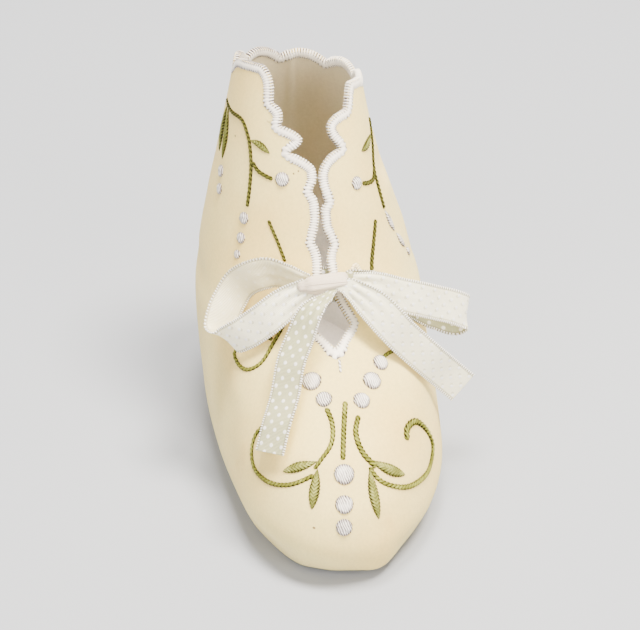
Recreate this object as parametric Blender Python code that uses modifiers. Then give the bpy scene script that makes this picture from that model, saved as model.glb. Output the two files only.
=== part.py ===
"""Infant's soft bootie: hollow cloth upper, cloth sole, insole and a ribbon tied in a bow.

The toe points along -Y, +Z is up and the sole stands on z = 0. Tables are in millimetres and
the model is in metres. Travel means the distance up the front of the upper, from the edge of
the sole over the toe and the vamp to the collar.
"""

import math

import bmesh
import bpy
import numpy as np
from mathutils import Matrix, Vector

MM = 0.001

# Cloth
WALL = 1.2
EDGING_THICKNESS = 2.0
EDGING_WIDTH = 2.3
EDGING_STEP = 0.3
CLEARANCE = 0.3

# The middle of the upper's wall, one row for each level from the sole's edge to the collar
LEVEL_COLUMNS = (
    "front_y",
    "front_z",
    "back_y",
    "back_z",
    "half_width",
    "widest_y",
    "toe_fullness",
    "heel_fullness",
)
LEVELS = (
    (-48.0, 3.0, 47.7, 3.0, 21.6, -6.0, 2.5, 2.2),
    (-51.6, 8.0, 50.8, 8.0, 23.7, -3.0, 2.45, 2.25),
    (-50.0, 15.8, 51.7, 15.4, 24.2, 4.0, 2.25, 2.3),
    (-43.6, 23.5, 51.1, 22.9, 24.3, 12.0, 1.95, 2.3),
    (-33.2, 29.7, 50.1, 30.9, 24.1, 17.0, 1.9, 2.3),
    (-21.7, 35.5, 48.9, 38.4, 23.3, 20.0, 1.9, 2.2),
    (-10.5, 42.8, 47.4, 45.9, 22.1, 21.0, 1.9, 2.2),
    (-3.4, 51.8, 45.9, 52.9, 20.5, 22.0, 1.95, 2.2),
    (1.1, 61.3, 44.6, 60.3, 18.5, 23.5, 2.0, 2.1),
    (5.6, 71.3, 43.4, 67.3, 16.5, 25.5, 2.0, 2.1),
    (10.1, 80.8, 42.4, 73.3, 14.8, 27.0, 2.0, 2.1),
    (14.1, 89.3, 41.6, 79.5, 13.3, 28.5, 2.0, 2.1),
)

# The foot's middle line, which turns in at the toe
MIDDLE_COLUMNS = ("y", "across")
MIDDLE = (
    (-52.0, -2.4),
    (-36.0, -0.9),
    (-20.0, 0.5),
    (-8.0, 0.4),
    (6.0, 0.0),
    (52.0, 0.0),
)

# Spring under toe and heel, and the hollow under the waist
TOE_SPRING = 1.8
TOE_SPRING_START_Y = -36.0
HEEL_SPRING = 0.6
HEEL_SPRING_START_Y = 40.0
SPRING_FADE = 20.0
ARCH_HEIGHT = 0.5
ARCH_CENTRE_Y = 4.0
ARCH_HALF_LENGTH = 14.0

# The collar sags to the right
COLLAR_TILT = 0.15
TILT_START = 55.0

# Throat edges, one row for each cusp from the foot of the throat to the corner of the collar
THROAT_COLUMNS = ("travel", "half_gap", "lobe")
THROAT_RIGHT = (
    (54.0, 0.0, 0.0),
    (59.0, 4.2, 0.6),
    (68.5, 1.3, 0.9),
    (77.0, 1.8, 1.4),
    (86.4, 1.4, 3.2),
    (97.9, 5.4, 3.6),
    (106.2, 7.5, 0.0),
    (107.7, 7.9, 0.2),
    (112.2, 9.2, 0.0),
)
THROAT_LEFT = (
    (54.0, 0.0, 0.0),
    (59.0, 4.2, 0.6),
    (68.5, 1.3, 0.9),
    (77.6, 1.8, 1.4),
    (88.8, 1.5, 3.6),
    (96.8, 5.5, 3.7),
    (102.2, 7.0, 1.2),
    (106.9, 8.2, 1.0),
    (114.9, 9.5, 0.0),
)
# Where the plain cloth starts beside the edging
ROOT_COLUMNS = ("travel", "across")
ROOT = (
    (0.0, 3.0),
    (45.0, 5.0),
    (59.0, 8.2),
    (70.0, 6.6),
    (90.0, 6.6),
    (100.0, 9.6),
    (108.0, 11.6),
    (114.9, 12.5),
)
LEAST_HALF_GAP = 0.35
LOBE_ROUNDNESS = 0.8
LOBE_TIP = 0.62
LOBE_STEPS = (0.0, 0.25, 0.6, 0.84)
TOP_LOBE_STEPS = (0.0, 0.3)
TOE_ROWS = (0.0, 2.5, 5.5, 9.0, 13.0, 18.0, 24.0, 30.0, 36.0, 42.0, 47.0)

# Columns of the upper from a throat edge round to the back seam
COLUMNS = 22
BAND_COLUMNS = 2
COLLAR_LOBE_COLUMNS = 6.67
COLLAR_LOBE_SHIFT = 1.8
COLLAR_LOBE_DEPTH = 3.2
COLLAR_LOBE_FADE = 16.0
COLLAR_CORNER_COLUMNS = 5.0
EVEN_UNTIL = 20.0
BAND_FROM = 45.0

# Sole and insole
SOLE_THICKNESS = 2.3
SOLE_GROW = 0.4
SOLE_COLUMNS = 22
SOLE_UNDER = ((1.0, 0.9), (0.95, 0.25), (0.86, 0.0), (0.55, 0.0), (0.0, 0.0))
SOLE_OVER = ((1.0, 0.35), (0.96, 0.0), (0.5, 0.0), (0.0, 0.0))
INSOLE_THICKNESS = 1.1
INSOLE_GROW = -1.2
INSOLE_UNDER = ((1.0, 0.0), (0.5, 0.0), (0.0, 0.0))
INSOLE_OVER = ((1.0, 0.0), (0.5, 0.0), (0.0, 0.0))

# Ribbon
RIBBON_WIDTH = 7.5
RIBBON_THICKNESS = 0.45
STRIP_STEP = 1.8
SLOT_TRAVEL = 68.6
SLOT_ACROSS = 6.6
SLOT_WIDTH = 1.4
SLOT_LENGTH = 8.4
SLOT_DEPTH = 6.0
CROSSING_COLUMNS = ("across", "out", "width")
CROSSING = (
    (1.8, 1.65, 3.6),
    (3.8, 1.65, 4.4),
    (5.6, 1.55, 6.2),
    (6.45, 0.9, 7.2),
    (6.6, 0.0, 7.5),
    (6.45, -0.9, 7.5),
    (5.6, -1.5, 7.5),
    (3.6, -1.65, 7.5),
    (1.6, -1.65, 7.5),
)
KNOT_TRAVEL = 68.4
KNOT_OUT = 4.9
KNOT_SIZE = (10.4, 5.6, 5.8)
KNOT_LEVELS = 2

# Bow routes from the knot's middle: across to the right, up the front and out from it, in
# millimetres, and the share of the ribbon's width that lies flat there
ROUTE_COLUMNS = ("across", "up", "out", "width_share")
LOOP_LEFT = (
    (-4.6, -0.3, 0.4, 0.60),
    (-10.2, -3.4, -1.4, 0.96),
    (-15.2, -6.6, -3.5, 1.0),
    (-19.5, -8.8, -6.6, 1.0),
    (-22.2, -8.9, -10.4, 1.0),
    (-22.9, -6.7, -12.2, 1.0),
    (-21.9, -3.2, -12.3, 1.0),
    (-20.2, -0.2, -11.4, 1.0),
    (-18.4, 2.2, -9.8, 1.0),
    (-15.9, 3.6, -7.2, 1.0),
    (-12.2, 3.9, -4.7, 0.98),
    (-8.3, 2.3, -2.8, 0.85),
    (-4.4, 0.6, -1.1, 0.60),
)
LOOP_LEFT_AXLE = (-0.74, 0.46, 0.49)
LOOP_RIGHT = (
    (4.75, -0.3, 0.3, 0.60),
    (9.3, -1.9, -0.2, 0.94),
    (16.2, -4.1, -2.3, 1.0),
    (23.5, -6.1, -5.6, 1.0),
    (28.6, -7.6, -8.8, 1.0),
    (30.8, -8.8, -11.8, 1.0),
    (29.4, -9.5, -13.8, 1.0),
    (24.6, -7.9, -12.4, 1.0),
    (19.3, -5.2, -9.0, 1.0),
    (12.9, -2.4, -5.4, 0.96),
    (8.0, -0.6, -3.0, 0.80),
    (4.4, 0.4, -1.3, 0.60),
)
LOOP_RIGHT_AXLE = (0.32, 0.51, 0.80)
TAIL_LEFT = (
    (-1.5, -3.0, 2.5, 0.50),
    (-4.2, -5.0, 3.4, 0.80),
    (-8.0, -10.8, 2.6, 1.0),
    (-11.7, -19.9, 2.9, 1.0),
    (-14.7, -28.0, 4.4, 1.0),
    (-17.6, -34.7, 4.8, 1.0),
)
TAIL_LEFT_AXLE = (0.66, -0.74, 0.15)
TAIL_RIGHT = (
    (3.6, -1.2, 1.9, 0.55),
    (8.0, -5.0, 1.8, 0.92),
    (14.5, -12.7, 0.0, 1.0),
    (21.2, -19.0, -4.3, 1.0),
    (28.0, -24.8, -9.6, 1.0),
)
TAIL_RIGHT_AXLE = (0.76, 0.28, 0.58)

# Colour as linear RGB, roughness
CLOTH = ((0.78, 0.69, 0.54), 0.85)
SOLE_CLOTH = ((0.72, 0.62, 0.47), 0.9)
INSOLE_CLOTH = ((0.80, 0.76, 0.74), 0.8)
RIBBON = ((0.74, 0.74, 0.62), 0.5)


def new_collection(name):
    """A collection linked to the scene."""
    made = bpy.data.collections.new(name)
    bpy.context.scene.collection.children.link(made)
    return made


def new_material(name, finish):
    """A Principled BSDF material from a colour and a roughness."""
    colour, roughness = finish
    made = bpy.data.materials.new(name)
    made.use_nodes = True
    shader = made.node_tree.nodes["Principled BSDF"]
    shader.inputs["Base Color"].default_value = (*colour, 1.0)
    shader.inputs["Roughness"].default_value = roughness
    shader.inputs["Metallic"].default_value = 0.0
    return made


def column(table, names, name):
    """One named column of a table, as an array."""
    return np.array([row[names.index(name)] for row in table], float)


def smooth(x):
    """Ease from 0 to 1."""
    t = np.clip(x, 0.0, 1.0)
    return t * t * (3.0 - 2.0 * t)


def curve_through(at, places, values):
    """Cubic curve through values at rising places, read at other places."""
    at = np.clip(at, places[0], places[-1])
    slopes = np.gradient(values, places, axis=0)
    i = np.clip(np.searchsorted(places, at) - 1, 0, len(places) - 2)
    gap = places[i + 1] - places[i]
    t = (at - places[i]) / gap
    if values.ndim > 1:
        gap, t = gap[..., None], t[..., None]
    start = (1.0 + 2.0 * t) * (1.0 - t) ** 2 * values[i] + t * (1.0 - t) ** 2 * gap * slopes[i]
    end = t * t * (3.0 - 2.0 * t) * values[i + 1] + t * t * (t - 1.0) * gap * slopes[i + 1]
    return start + end


LEVEL_TABLE = np.array(LEVELS, float)
LEVEL_TRAVEL = np.concatenate(
    [[0.0], np.cumsum(np.hypot(np.diff(LEVEL_TABLE[:, 0]), np.diff(LEVEL_TABLE[:, 1])))]
)
COLLAR_TRAVEL = LEVEL_TRAVEL[-1]


def level_at(travel):
    """The sizes of the section at each travel, by column name."""
    read = curve_through(np.asarray(travel, float), LEVEL_TRAVEL, LEVEL_TABLE)
    return {name: read[..., k] for k, name in enumerate(LEVEL_COLUMNS)}


def spring(y):
    """How far the sole's edge rises under the toe and the heel."""
    toe = np.clip((TOE_SPRING_START_Y - y) / (TOE_SPRING_START_Y - LEVELS[0][0]), 0.0, 1.0)
    heel = np.clip((y - HEEL_SPRING_START_Y) / (LEVELS[0][2] - HEEL_SPRING_START_Y), 0.0, 1.0)
    return TOE_SPRING * toe**2 + HEEL_SPRING * heel**2


def turn(y):
    """Sideways place of the foot's middle line."""
    return curve_through(y, column(MIDDLE, MIDDLE_COLUMNS, "y"), column(MIDDLE, MIDDLE_COLUMNS, "across"))


def section(angle, level, grow=0.0):
    """Half section of a level: across from the middle line, and y, from front (0) to back (pi)."""
    c = np.cos(angle)
    ahead = level["widest_y"] - level["front_y"] + grow
    behind = level["back_y"] - level["widest_y"] + grow
    y = level["widest_y"] - np.where(c > 0.0, ahead, behind) * c
    fullness = np.where(c > 0.0, level["toe_fullness"], level["heel_fullness"])
    bulge = np.sqrt(np.clip(1.0 - np.abs(c) ** fullness, 0.0, 1.0))
    return (level["half_width"] + grow) * bulge, y


def wall(side, angle, travel):
    """Points in the middle of the upper's wall, on the side -1 or 1."""
    level = level_at(travel)
    across, y = section(angle, level)
    share = (y - level["front_y"]) / (level["back_y"] - level["front_y"])
    z = level["front_z"] + (level["back_z"] - level["front_z"]) * share
    z = z + spring(y) * np.clip(1.0 - travel / SPRING_FADE, 0.0, 1.0)
    z = z - COLLAR_TILT * side * across * smooth((travel - TILT_START) / (COLLAR_TRAVEL - TILT_START))
    return np.stack([side * across + turn(y), y, z], axis=-1)


def angle_across(across, travel):
    """The section angle at a distance from the middle line, on the front half."""
    level = level_at(travel)
    share = np.clip(across / level["half_width"], 0.0, 0.999)
    return np.arccos((1.0 - share**2) ** (1.0 / level["toe_fullness"]))


def front_frame(across, travel):
    """Point of the wall near the front with its outward normal and its upward tangent."""
    side = math.copysign(1.0, across)
    offset = abs(across)
    step = 0.2

    def point(d_across, d_travel):
        near = np.array(travel + d_travel)
        return wall(side, angle_across(np.array(offset + d_across), near), near)

    here = point(0.0, 0.0)
    sideways = (point(step, 0.0) - here) * side
    up = point(0.0, step) - here
    normal = np.cross(sideways, up)
    return here, normal / np.linalg.norm(normal), up / np.linalg.norm(up)


def lobe(u, tip=0.5):
    """Height of a scallop's lobe between its cusps at 0 and 1, highest at its tip."""
    even = u ** (math.log(0.5) / math.log(tip))
    return (1.0 - (2.0 * even - 1.0) ** 2) ** LOBE_ROUNDNESS


def throat_rows(table):
    """Travel, half gap and the edging's slant for each grid row of one side."""
    travel = column(table, THROAT_COLUMNS, "travel")
    gap = column(table, THROAT_COLUMNS, "half_gap")
    depth = column(table, THROAT_COLUMNS, "lobe")
    foot = travel[0]
    rows = [(t, 0.0, 1.0) for t in TOE_ROWS]
    rows += [(foot - EDGING_WIDTH, 0.0, 1.0), (foot - EDGING_WIDTH + EDGING_STEP, 0.0, 1.0)]
    last = len(table) - 2
    for i in range(last + 1):
        length = travel[i + 1] - travel[i]
        slant = math.hypot(1.0, (gap[i + 1] - gap[i]) / length)
        steps = list(LOBE_STEPS)
        if i == last:
            steps = list(TOP_LOBE_STEPS)
            steps += [1.0 - EDGING_WIDTH / length, 1.0 - (EDGING_WIDTH - EDGING_STEP) / length, 1.0]
        for u in steps:
            half = gap[i] + (gap[i + 1] - gap[i]) * u - depth[i] * lobe(u, LOBE_TIP)
            least = min(LEAST_HALF_GAP, gap[i] + (gap[i + 1] - gap[i]) * u)
            rows.append((travel[i] + length * u, max(half, least), slant))
    return np.array(rows, float)


def collar_drop(side):
    """How far each column's top edge lies below the collar line, level at the front corner."""
    k = np.arange(COLUMNS + 1)
    u = (side * (COLUMNS - k) - COLLAR_LOBE_SHIFT) / COLLAR_LOBE_COLUMNS + 0.5
    corner = smooth((k - BAND_COLUMNS) / COLLAR_CORNER_COLUMNS)
    return COLLAR_LOBE_DEPTH * (1.0 - lobe(np.mod(u, 1.0))) * corner


def half_grid(side, rows, common_travel):
    """Points of one half of the upper: grid rows up, columns from the throat edge to the back."""
    travel, gap, slant = rows.T
    k = np.arange(COLUMNS + 1)
    grid_travel = travel[:, None] + (common_travel - travel)[:, None] * k / COLUMNS
    rise = smooth((grid_travel - COLLAR_TRAVEL + COLLAR_LOBE_FADE) / COLLAR_LOBE_FADE)
    grid_travel = grid_travel - collar_drop(side) * rise
    band = np.array([0.0, EDGING_WIDTH - EDGING_STEP, EDGING_WIDTH])
    edge = angle_across(gap[:, None] + band * slant[:, None], grid_travel[:, : BAND_COLUMNS + 1])
    first = BAND_COLUMNS + 1
    root_travel = column(ROOT, ROOT_COLUMNS, "travel")
    root_across = column(ROOT, ROOT_COLUMNS, "across")
    root = angle_across(curve_through(travel, root_travel, root_across), travel)[:, None]
    rest = (k[first:] - first) / (COLUMNS - first)
    angle = np.concatenate([edge, root + (math.pi - root) * rest], axis=1)
    even = math.pi * k / COLUMNS
    keep = smooth((travel - EVEN_UNTIL) / (BAND_FROM - EVEN_UNTIL))[:, None]
    return wall(side, even + (angle - even) * keep, grid_travel)


def edging_weights(rows):
    """1 on the edging's columns and rows, 0 on the plain wall."""
    foot_row = len(TOE_ROWS) + 2
    weights = np.zeros((len(rows), COLUMNS + 1))
    weights[foot_row:, :BAND_COLUMNS] = 1.0
    weights[foot_row - 1, 0] = 1.0
    weights[-2:, :] = 1.0
    return weights


def mesh_object(name, mesh, collection, material):
    """An object of the mesh, in its collection, with its material and smooth faces."""
    made = bpy.data.objects.new(name, mesh)
    collection.objects.link(made)
    made.data.materials.append(material)
    made.data.shade_smooth()
    return made


def grid_faces(bm, verts, flip):
    """Quads between the rows and columns of a grid of vertices."""
    for lower, upper in zip(verts[:-1], verts[1:]):
        for k in range(len(lower) - 1):
            corners = [lower[k], lower[k + 1], upper[k + 1], upper[k]]
            bm.faces.new(reversed(corners) if flip else corners)


def make_upper(collection, cutters, material):
    """Cloth upper: both halves of the wall, welded at toe and back seam, with its edging."""
    tables = {1.0: throat_rows(THROAT_RIGHT), -1.0: throat_rows(THROAT_LEFT)}
    common = (tables[1.0][:, 0] + tables[-1.0][:, 0]) / 2.0
    bm = bmesh.new()
    layer = bm.verts.layers.deform.verify()
    for side, rows in tables.items():
        points = half_grid(side, rows, common) * MM
        weights = edging_weights(rows)
        verts = []
        for line, line_weights in zip(points, weights):
            verts.append([bm.verts.new(point) for point in line])
            for vert, weight in zip(verts[-1], line_weights):
                vert[layer][0] = weight
        grid_faces(bm, verts, flip=side < 0.0)
    bmesh.ops.remove_doubles(bm, verts=bm.verts, dist=0.01 * MM)
    mesh = bpy.data.meshes.new("upper")
    bm.to_mesh(mesh)
    bm.free()
    upper = mesh_object("upper", mesh, collection, material)
    upper.vertex_groups.new(name="edging")
    thick = upper.modifiers.new("wall", "SOLIDIFY")
    thick.thickness = EDGING_THICKNESS * MM
    thick.offset = 0.0
    thick.vertex_group = "edging"
    thick.thickness_vertex_group = WALL / EDGING_THICKNESS
    for side in (-1.0, 1.0):
        cut = upper.modifiers.new("ribbon_slot", "BOOLEAN")
        cut.operation = "DIFFERENCE"
        cut.object = slot_cutter(side, cutters)
    return upper


def slot_cutter(side, collection):
    """Box that cuts the ribbon's slot through the upper beside a throat edge."""
    place, normal, up = front_frame(side * SLOT_ACROSS, SLOT_TRAVEL)
    sideways = np.cross(up, normal)
    bm = bmesh.new()
    bmesh.ops.create_cube(bm, size=1.0)
    turn_to = Matrix(np.column_stack([sideways, up, normal]).tolist()).to_4x4()
    size = Matrix.Diagonal((SLOT_WIDTH * MM, SLOT_LENGTH * MM, SLOT_DEPTH * MM, 1.0))
    bmesh.ops.transform(bm, matrix=Matrix.Translation(Vector(place * MM)) @ turn_to @ size, verts=bm.verts)
    mesh = bpy.data.meshes.new("slot_cutter")
    bm.to_mesh(mesh)
    bm.free()
    cutter = bpy.data.objects.new("slot_cutter", mesh)
    collection.objects.link(cutter)
    cutter.hide_render = True
    cutter.display_type = "WIRE"
    return cutter


def arch(y):
    """How far the sole's underside is hollowed at the waist."""
    reach = np.clip((y - ARCH_CENTRE_Y) / ARCH_HALF_LENGTH, -1.0, 1.0)
    return ARCH_HEIGHT * np.cos(reach * math.pi / 2.0) ** 2


def plate(name, grow, low, high, under, over, hollow, collection, material):
    """Sole or insole: the upper's own lowest section as a plate with shaped edges.

    Rows of (share of half width, depth from the face) run from the edge to the middle line.
    """
    angle = np.linspace(0.0, math.pi, SOLE_COLUMNS + 1)
    across, y = section(angle, level_at(np.zeros_like(angle)), grow)
    bm = bmesh.new()
    for side in (-1.0, 1.0):
        lines = []
        for share, depth in reversed(under):
            z = low + spring(y) + depth + hollow * arch(y)
            lines.append(np.stack([side * across * share + turn(y), y, z], axis=-1))
        for share, depth in over:
            z = high + spring(y) - depth
            lines.append(np.stack([side * across * share + turn(y), y, z], axis=-1))
        verts = [[bm.verts.new(point * MM) for point in line] for line in lines]
        grid_faces(bm, verts, flip=side < 0.0)
    bmesh.ops.remove_doubles(bm, verts=bm.verts, dist=0.01 * MM)
    bmesh.ops.dissolve_degenerate(bm, edges=bm.edges, dist=0.01 * MM)
    mesh = bpy.data.meshes.new(name)
    bm.to_mesh(mesh)
    bm.free()
    return mesh_object(name, mesh, collection, material)


def strip(name, left_edge, right_edge, collection, material):
    """Ribbon between two edge lines, thickened to its woven thickness."""
    bm = bmesh.new()
    middle = (left_edge + right_edge) / 2.0
    lines = [[bm.verts.new(point * MM) for point in line] for line in (left_edge, middle, right_edge)]
    grid_faces(bm, lines, flip=False)
    mesh = bpy.data.meshes.new(name)
    bm.to_mesh(mesh)
    bm.free()
    made = mesh_object(name, mesh, collection, material)
    thick = made.modifiers.new("weave", "SOLIDIFY")
    thick.thickness = RIBBON_THICKNESS * MM
    thick.offset = 0.0
    return made


def make_crossing(collection, material):
    """Ribbon that runs behind the throat and comes out through the slot on each side."""
    rows = [(-across, out, width) for across, out, width in CROSSING] + list(reversed(CROSSING))
    edges = []
    for end in (0.5, -0.5):
        line = []
        for across, out, width in rows:
            here, normal, _ = front_frame(across, SLOT_TRAVEL + end * width)
            line.append(here + normal * out)
        edges.append(np.array(line))
    return strip("ribbon_crossing", *edges, collection, material)


def bow_frame():
    """The knot's middle and the directions up the front and out from it."""
    place, normal, up = front_frame(0.0, KNOT_TRAVEL)
    return place + normal * KNOT_OUT, up, normal


def make_knot(collection, material):
    """The bow's knot, a soft block from a subdivided cube."""
    centre, up, normal = bow_frame()
    bm = bmesh.new()
    bmesh.ops.create_cube(bm, size=1.0)
    turn_to = Matrix(np.column_stack([np.cross(up, normal), up, normal]).tolist()).to_4x4()
    size = Matrix.Diagonal((*(side * MM for side in KNOT_SIZE), 1.0))
    bmesh.ops.transform(bm, matrix=Matrix.Translation(Vector(centre * MM)) @ turn_to @ size, verts=bm.verts)
    mesh = bpy.data.meshes.new("bow_knot")
    bm.to_mesh(mesh)
    bm.free()
    knot = mesh_object("bow_knot", mesh, collection, material)
    soft = knot.modifiers.new("soft", "SUBSURF")
    soft.levels = KNOT_LEVELS
    soft.render_levels = KNOT_LEVELS
    return knot


def make_bow_strip(name, route, axle, collection, material):
    """Loop or tail: a ribbon along a route from the knot, its width kept near the axle."""
    centre, up, normal = bow_frame()
    steps = np.array(route, float)
    points = centre + np.outer(steps[:, 0], np.cross(up, normal))
    points = points + np.outer(steps[:, 1], up) + np.outer(steps[:, 2], normal)
    length = np.concatenate([[0.0], np.cumsum(np.linalg.norm(np.diff(points, axis=0), axis=1))])
    places = np.linspace(0.0, length[-1], math.ceil(length[-1] / STRIP_STEP) + 1)
    line = curve_through(places, length, points)
    half_width = curve_through(places, length, steps[:, 3]) * RIBBON_WIDTH / 2.0
    run = np.gradient(line, axis=0)
    run = run / np.linalg.norm(run, axis=1)[:, None]
    wide = np.array(axle) - run * (run @ np.array(axle))[:, None]
    wide = wide / np.linalg.norm(wide, axis=1)[:, None] * half_width[:, None]
    return strip(name, line + wide, line - wide, collection, material)


def main():
    """Build every piece of the bootie."""
    for old in list(bpy.data.objects):
        bpy.data.objects.remove(old)
    bootie = new_collection("bootie")
    cutters = new_collection("cutters")
    cloth = new_material("wool_cloth", CLOTH)
    ribbon = new_material("ribbon", RIBBON)
    make_upper(bootie, cutters, cloth)
    plate(
        "sole", SOLE_GROW, 0.0, SOLE_THICKNESS, SOLE_UNDER, SOLE_OVER, 1.0,
        bootie, new_material("sole_cloth", SOLE_CLOTH),
    )
    insole_low = SOLE_THICKNESS + CLEARANCE
    plate(
        "insole", INSOLE_GROW, insole_low, insole_low + INSOLE_THICKNESS, INSOLE_UNDER, INSOLE_OVER, 0.0,
        bootie, new_material("insole_cloth", INSOLE_CLOTH),
    )
    make_crossing(bootie, ribbon)
    make_knot(bootie, ribbon)
    for name, route, axle in (
        ("bow_loop_left", LOOP_LEFT, LOOP_LEFT_AXLE),
        ("bow_loop_right", LOOP_RIGHT, LOOP_RIGHT_AXLE),
        ("bow_tail_left", TAIL_LEFT, TAIL_LEFT_AXLE),
        ("bow_tail_right", TAIL_RIGHT, TAIL_RIGHT_AXLE),
    ):
        make_bow_strip(name, route, axle, bootie, ribbon)


main()
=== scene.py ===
"""Dressed infant's bootie: wool cloth, scalloped silk edging, embroidery and a ribbon bow.

Tables are in millimetres and degrees, and meshes go to Blender in metres. The toe points along
-Y and +Z is up. Travel is the distance up the front of the upper from the sole's edge. Round
is the angle about the foot, 0 at the middle of the front and 180 at the back seam, positive on
the right.
"""

import logging
import math
from dataclasses import dataclass, field
from enum import Enum
from functools import reduce
from typing import Optional, Sequence

import bmesh
import bpy
import numpy as np
from mathutils import Matrix, Vector


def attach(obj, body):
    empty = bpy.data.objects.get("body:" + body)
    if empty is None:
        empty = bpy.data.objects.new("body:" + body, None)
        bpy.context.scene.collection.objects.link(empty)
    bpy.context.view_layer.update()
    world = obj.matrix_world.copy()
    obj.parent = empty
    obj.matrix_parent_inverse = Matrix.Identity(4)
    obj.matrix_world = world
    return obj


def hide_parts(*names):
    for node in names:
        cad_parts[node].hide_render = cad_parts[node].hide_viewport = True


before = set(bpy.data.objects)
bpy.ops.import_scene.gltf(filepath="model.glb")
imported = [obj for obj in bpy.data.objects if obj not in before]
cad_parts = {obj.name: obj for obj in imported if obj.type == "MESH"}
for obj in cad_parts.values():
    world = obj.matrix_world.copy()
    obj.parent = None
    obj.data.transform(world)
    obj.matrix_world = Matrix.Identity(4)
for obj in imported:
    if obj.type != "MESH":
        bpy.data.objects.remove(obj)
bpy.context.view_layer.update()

LOG = logging.getLogger("bootie")
MM = 0.001
SEED = 7
TURN = 2.0 * math.pi
# Least length that a vector is divided by
TINY = 1e-12
# Points nearer than this are merged and shorter edges closed up, in millimetres
WELD = 0.001
# A bell-shaped weight is cut off at this many half widths
BELL_REACH = 3.0
# Corners of a face
QUAD = 4
# Sockets of Blender's colour Mix node: share, both colours, result
MIX_INPUTS = (0, 6, 7)
MIX_RESULT = 2

Array = np.ndarray
Colour = tuple[float, float, float]
Row = tuple[float, ...]
Rows = tuple[Row, ...]
Span = tuple[float, float]
Material = bpy.types.Material
Piece = bpy.types.Object
Socket = bpy.types.NodeSocket
Sides = tuple[Material, Material]


def ease(x: Array) -> Array:
    """Ease from 0 to 1: the cubic 3t^2 - 2t^3 of x held between 0 and 1."""
    t = np.clip(x, 0.0, 1.0)
    return t * t * (3.0 - 2.0 * t)


def bell(x: Array) -> Array:
    """Bell curve exp(-x^2 / 2), with 1 at its middle."""
    return np.exp(-0.5 * x * x)


def unit(vectors: Array) -> Array:
    """Vectors at length one."""
    return vectors / np.maximum(np.linalg.norm(vectors, axis=-1, keepdims=True), TINY)


def wrapped(angle: Array) -> Array:
    """The same angle between -pi and pi."""
    return np.mod(angle + math.pi, TURN) - math.pi


def curve_through(at: Array, places: Array, values: Array) -> Array:
    """Cubic Hermite curve through values, with slopes from the neighbours on both sides.

    Args:
        at: Where the curve is read; held inside the first and last place.
        places: Rising places of the values.
        values: One number or one row of numbers for each place.

    Returns:
        The curve's values in the shape of at, with the row's length added for rows.
    """
    at = np.clip(at, places[0], places[-1])
    slopes = np.gradient(values, places, axis=0)
    i = np.clip(np.searchsorted(places, at) - 1, 0, len(places) - 2)
    gap = places[i + 1] - places[i]
    t = (at - places[i]) / gap
    if values.ndim > 1:
        gap, t = gap[..., None], t[..., None]
    start = (1.0 + 2.0 * t) * (1.0 - t) ** 2 * values[i] + t * (1.0 - t) ** 2 * gap * slopes[i]
    end = t * t * (3.0 - 2.0 * t) * values[i + 1] + t * t * (t - 1.0) * gap * slopes[i + 1]
    return start + end


def run_length(points: Array) -> Array:
    """Length along a line of points, from 0 at its first point."""
    return np.concatenate([[0.0], np.cumsum(np.linalg.norm(np.diff(points, axis=0), axis=1))])


def blur(values: Array, width: float, closed: bool = False) -> Array:
    """Smooth rows along a line with a bell-shaped weight.

    Args:
        values: Rows to smooth along the first axis.
        width: The bell's half width, in rows.
        closed: Whether the last row is followed by the first.

    Returns:
        The smoothed rows.
    """
    reach = max(1, int(BELL_REACH * width))
    weight = bell(np.arange(-reach, reach + 1) / width)
    weight = weight / weight.sum()
    padded = np.pad(values, ((reach, reach), (0, 0)), mode="wrap" if closed else "edge")
    return np.stack([np.convolve(column, weight, mode="valid") for column in padded.T], axis=1)


def put_in_scene(name: str, data: bpy.types.ID) -> Piece:
    """New object of a mesh, lamp or camera, linked to the scene.

    Args:
        name: The object's name.
        data: What it shows.

    Returns:
        The object, at the origin.
    """
    made = bpy.data.objects.new(name, data)
    bpy.context.scene.collection.objects.link(made)
    return made


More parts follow.
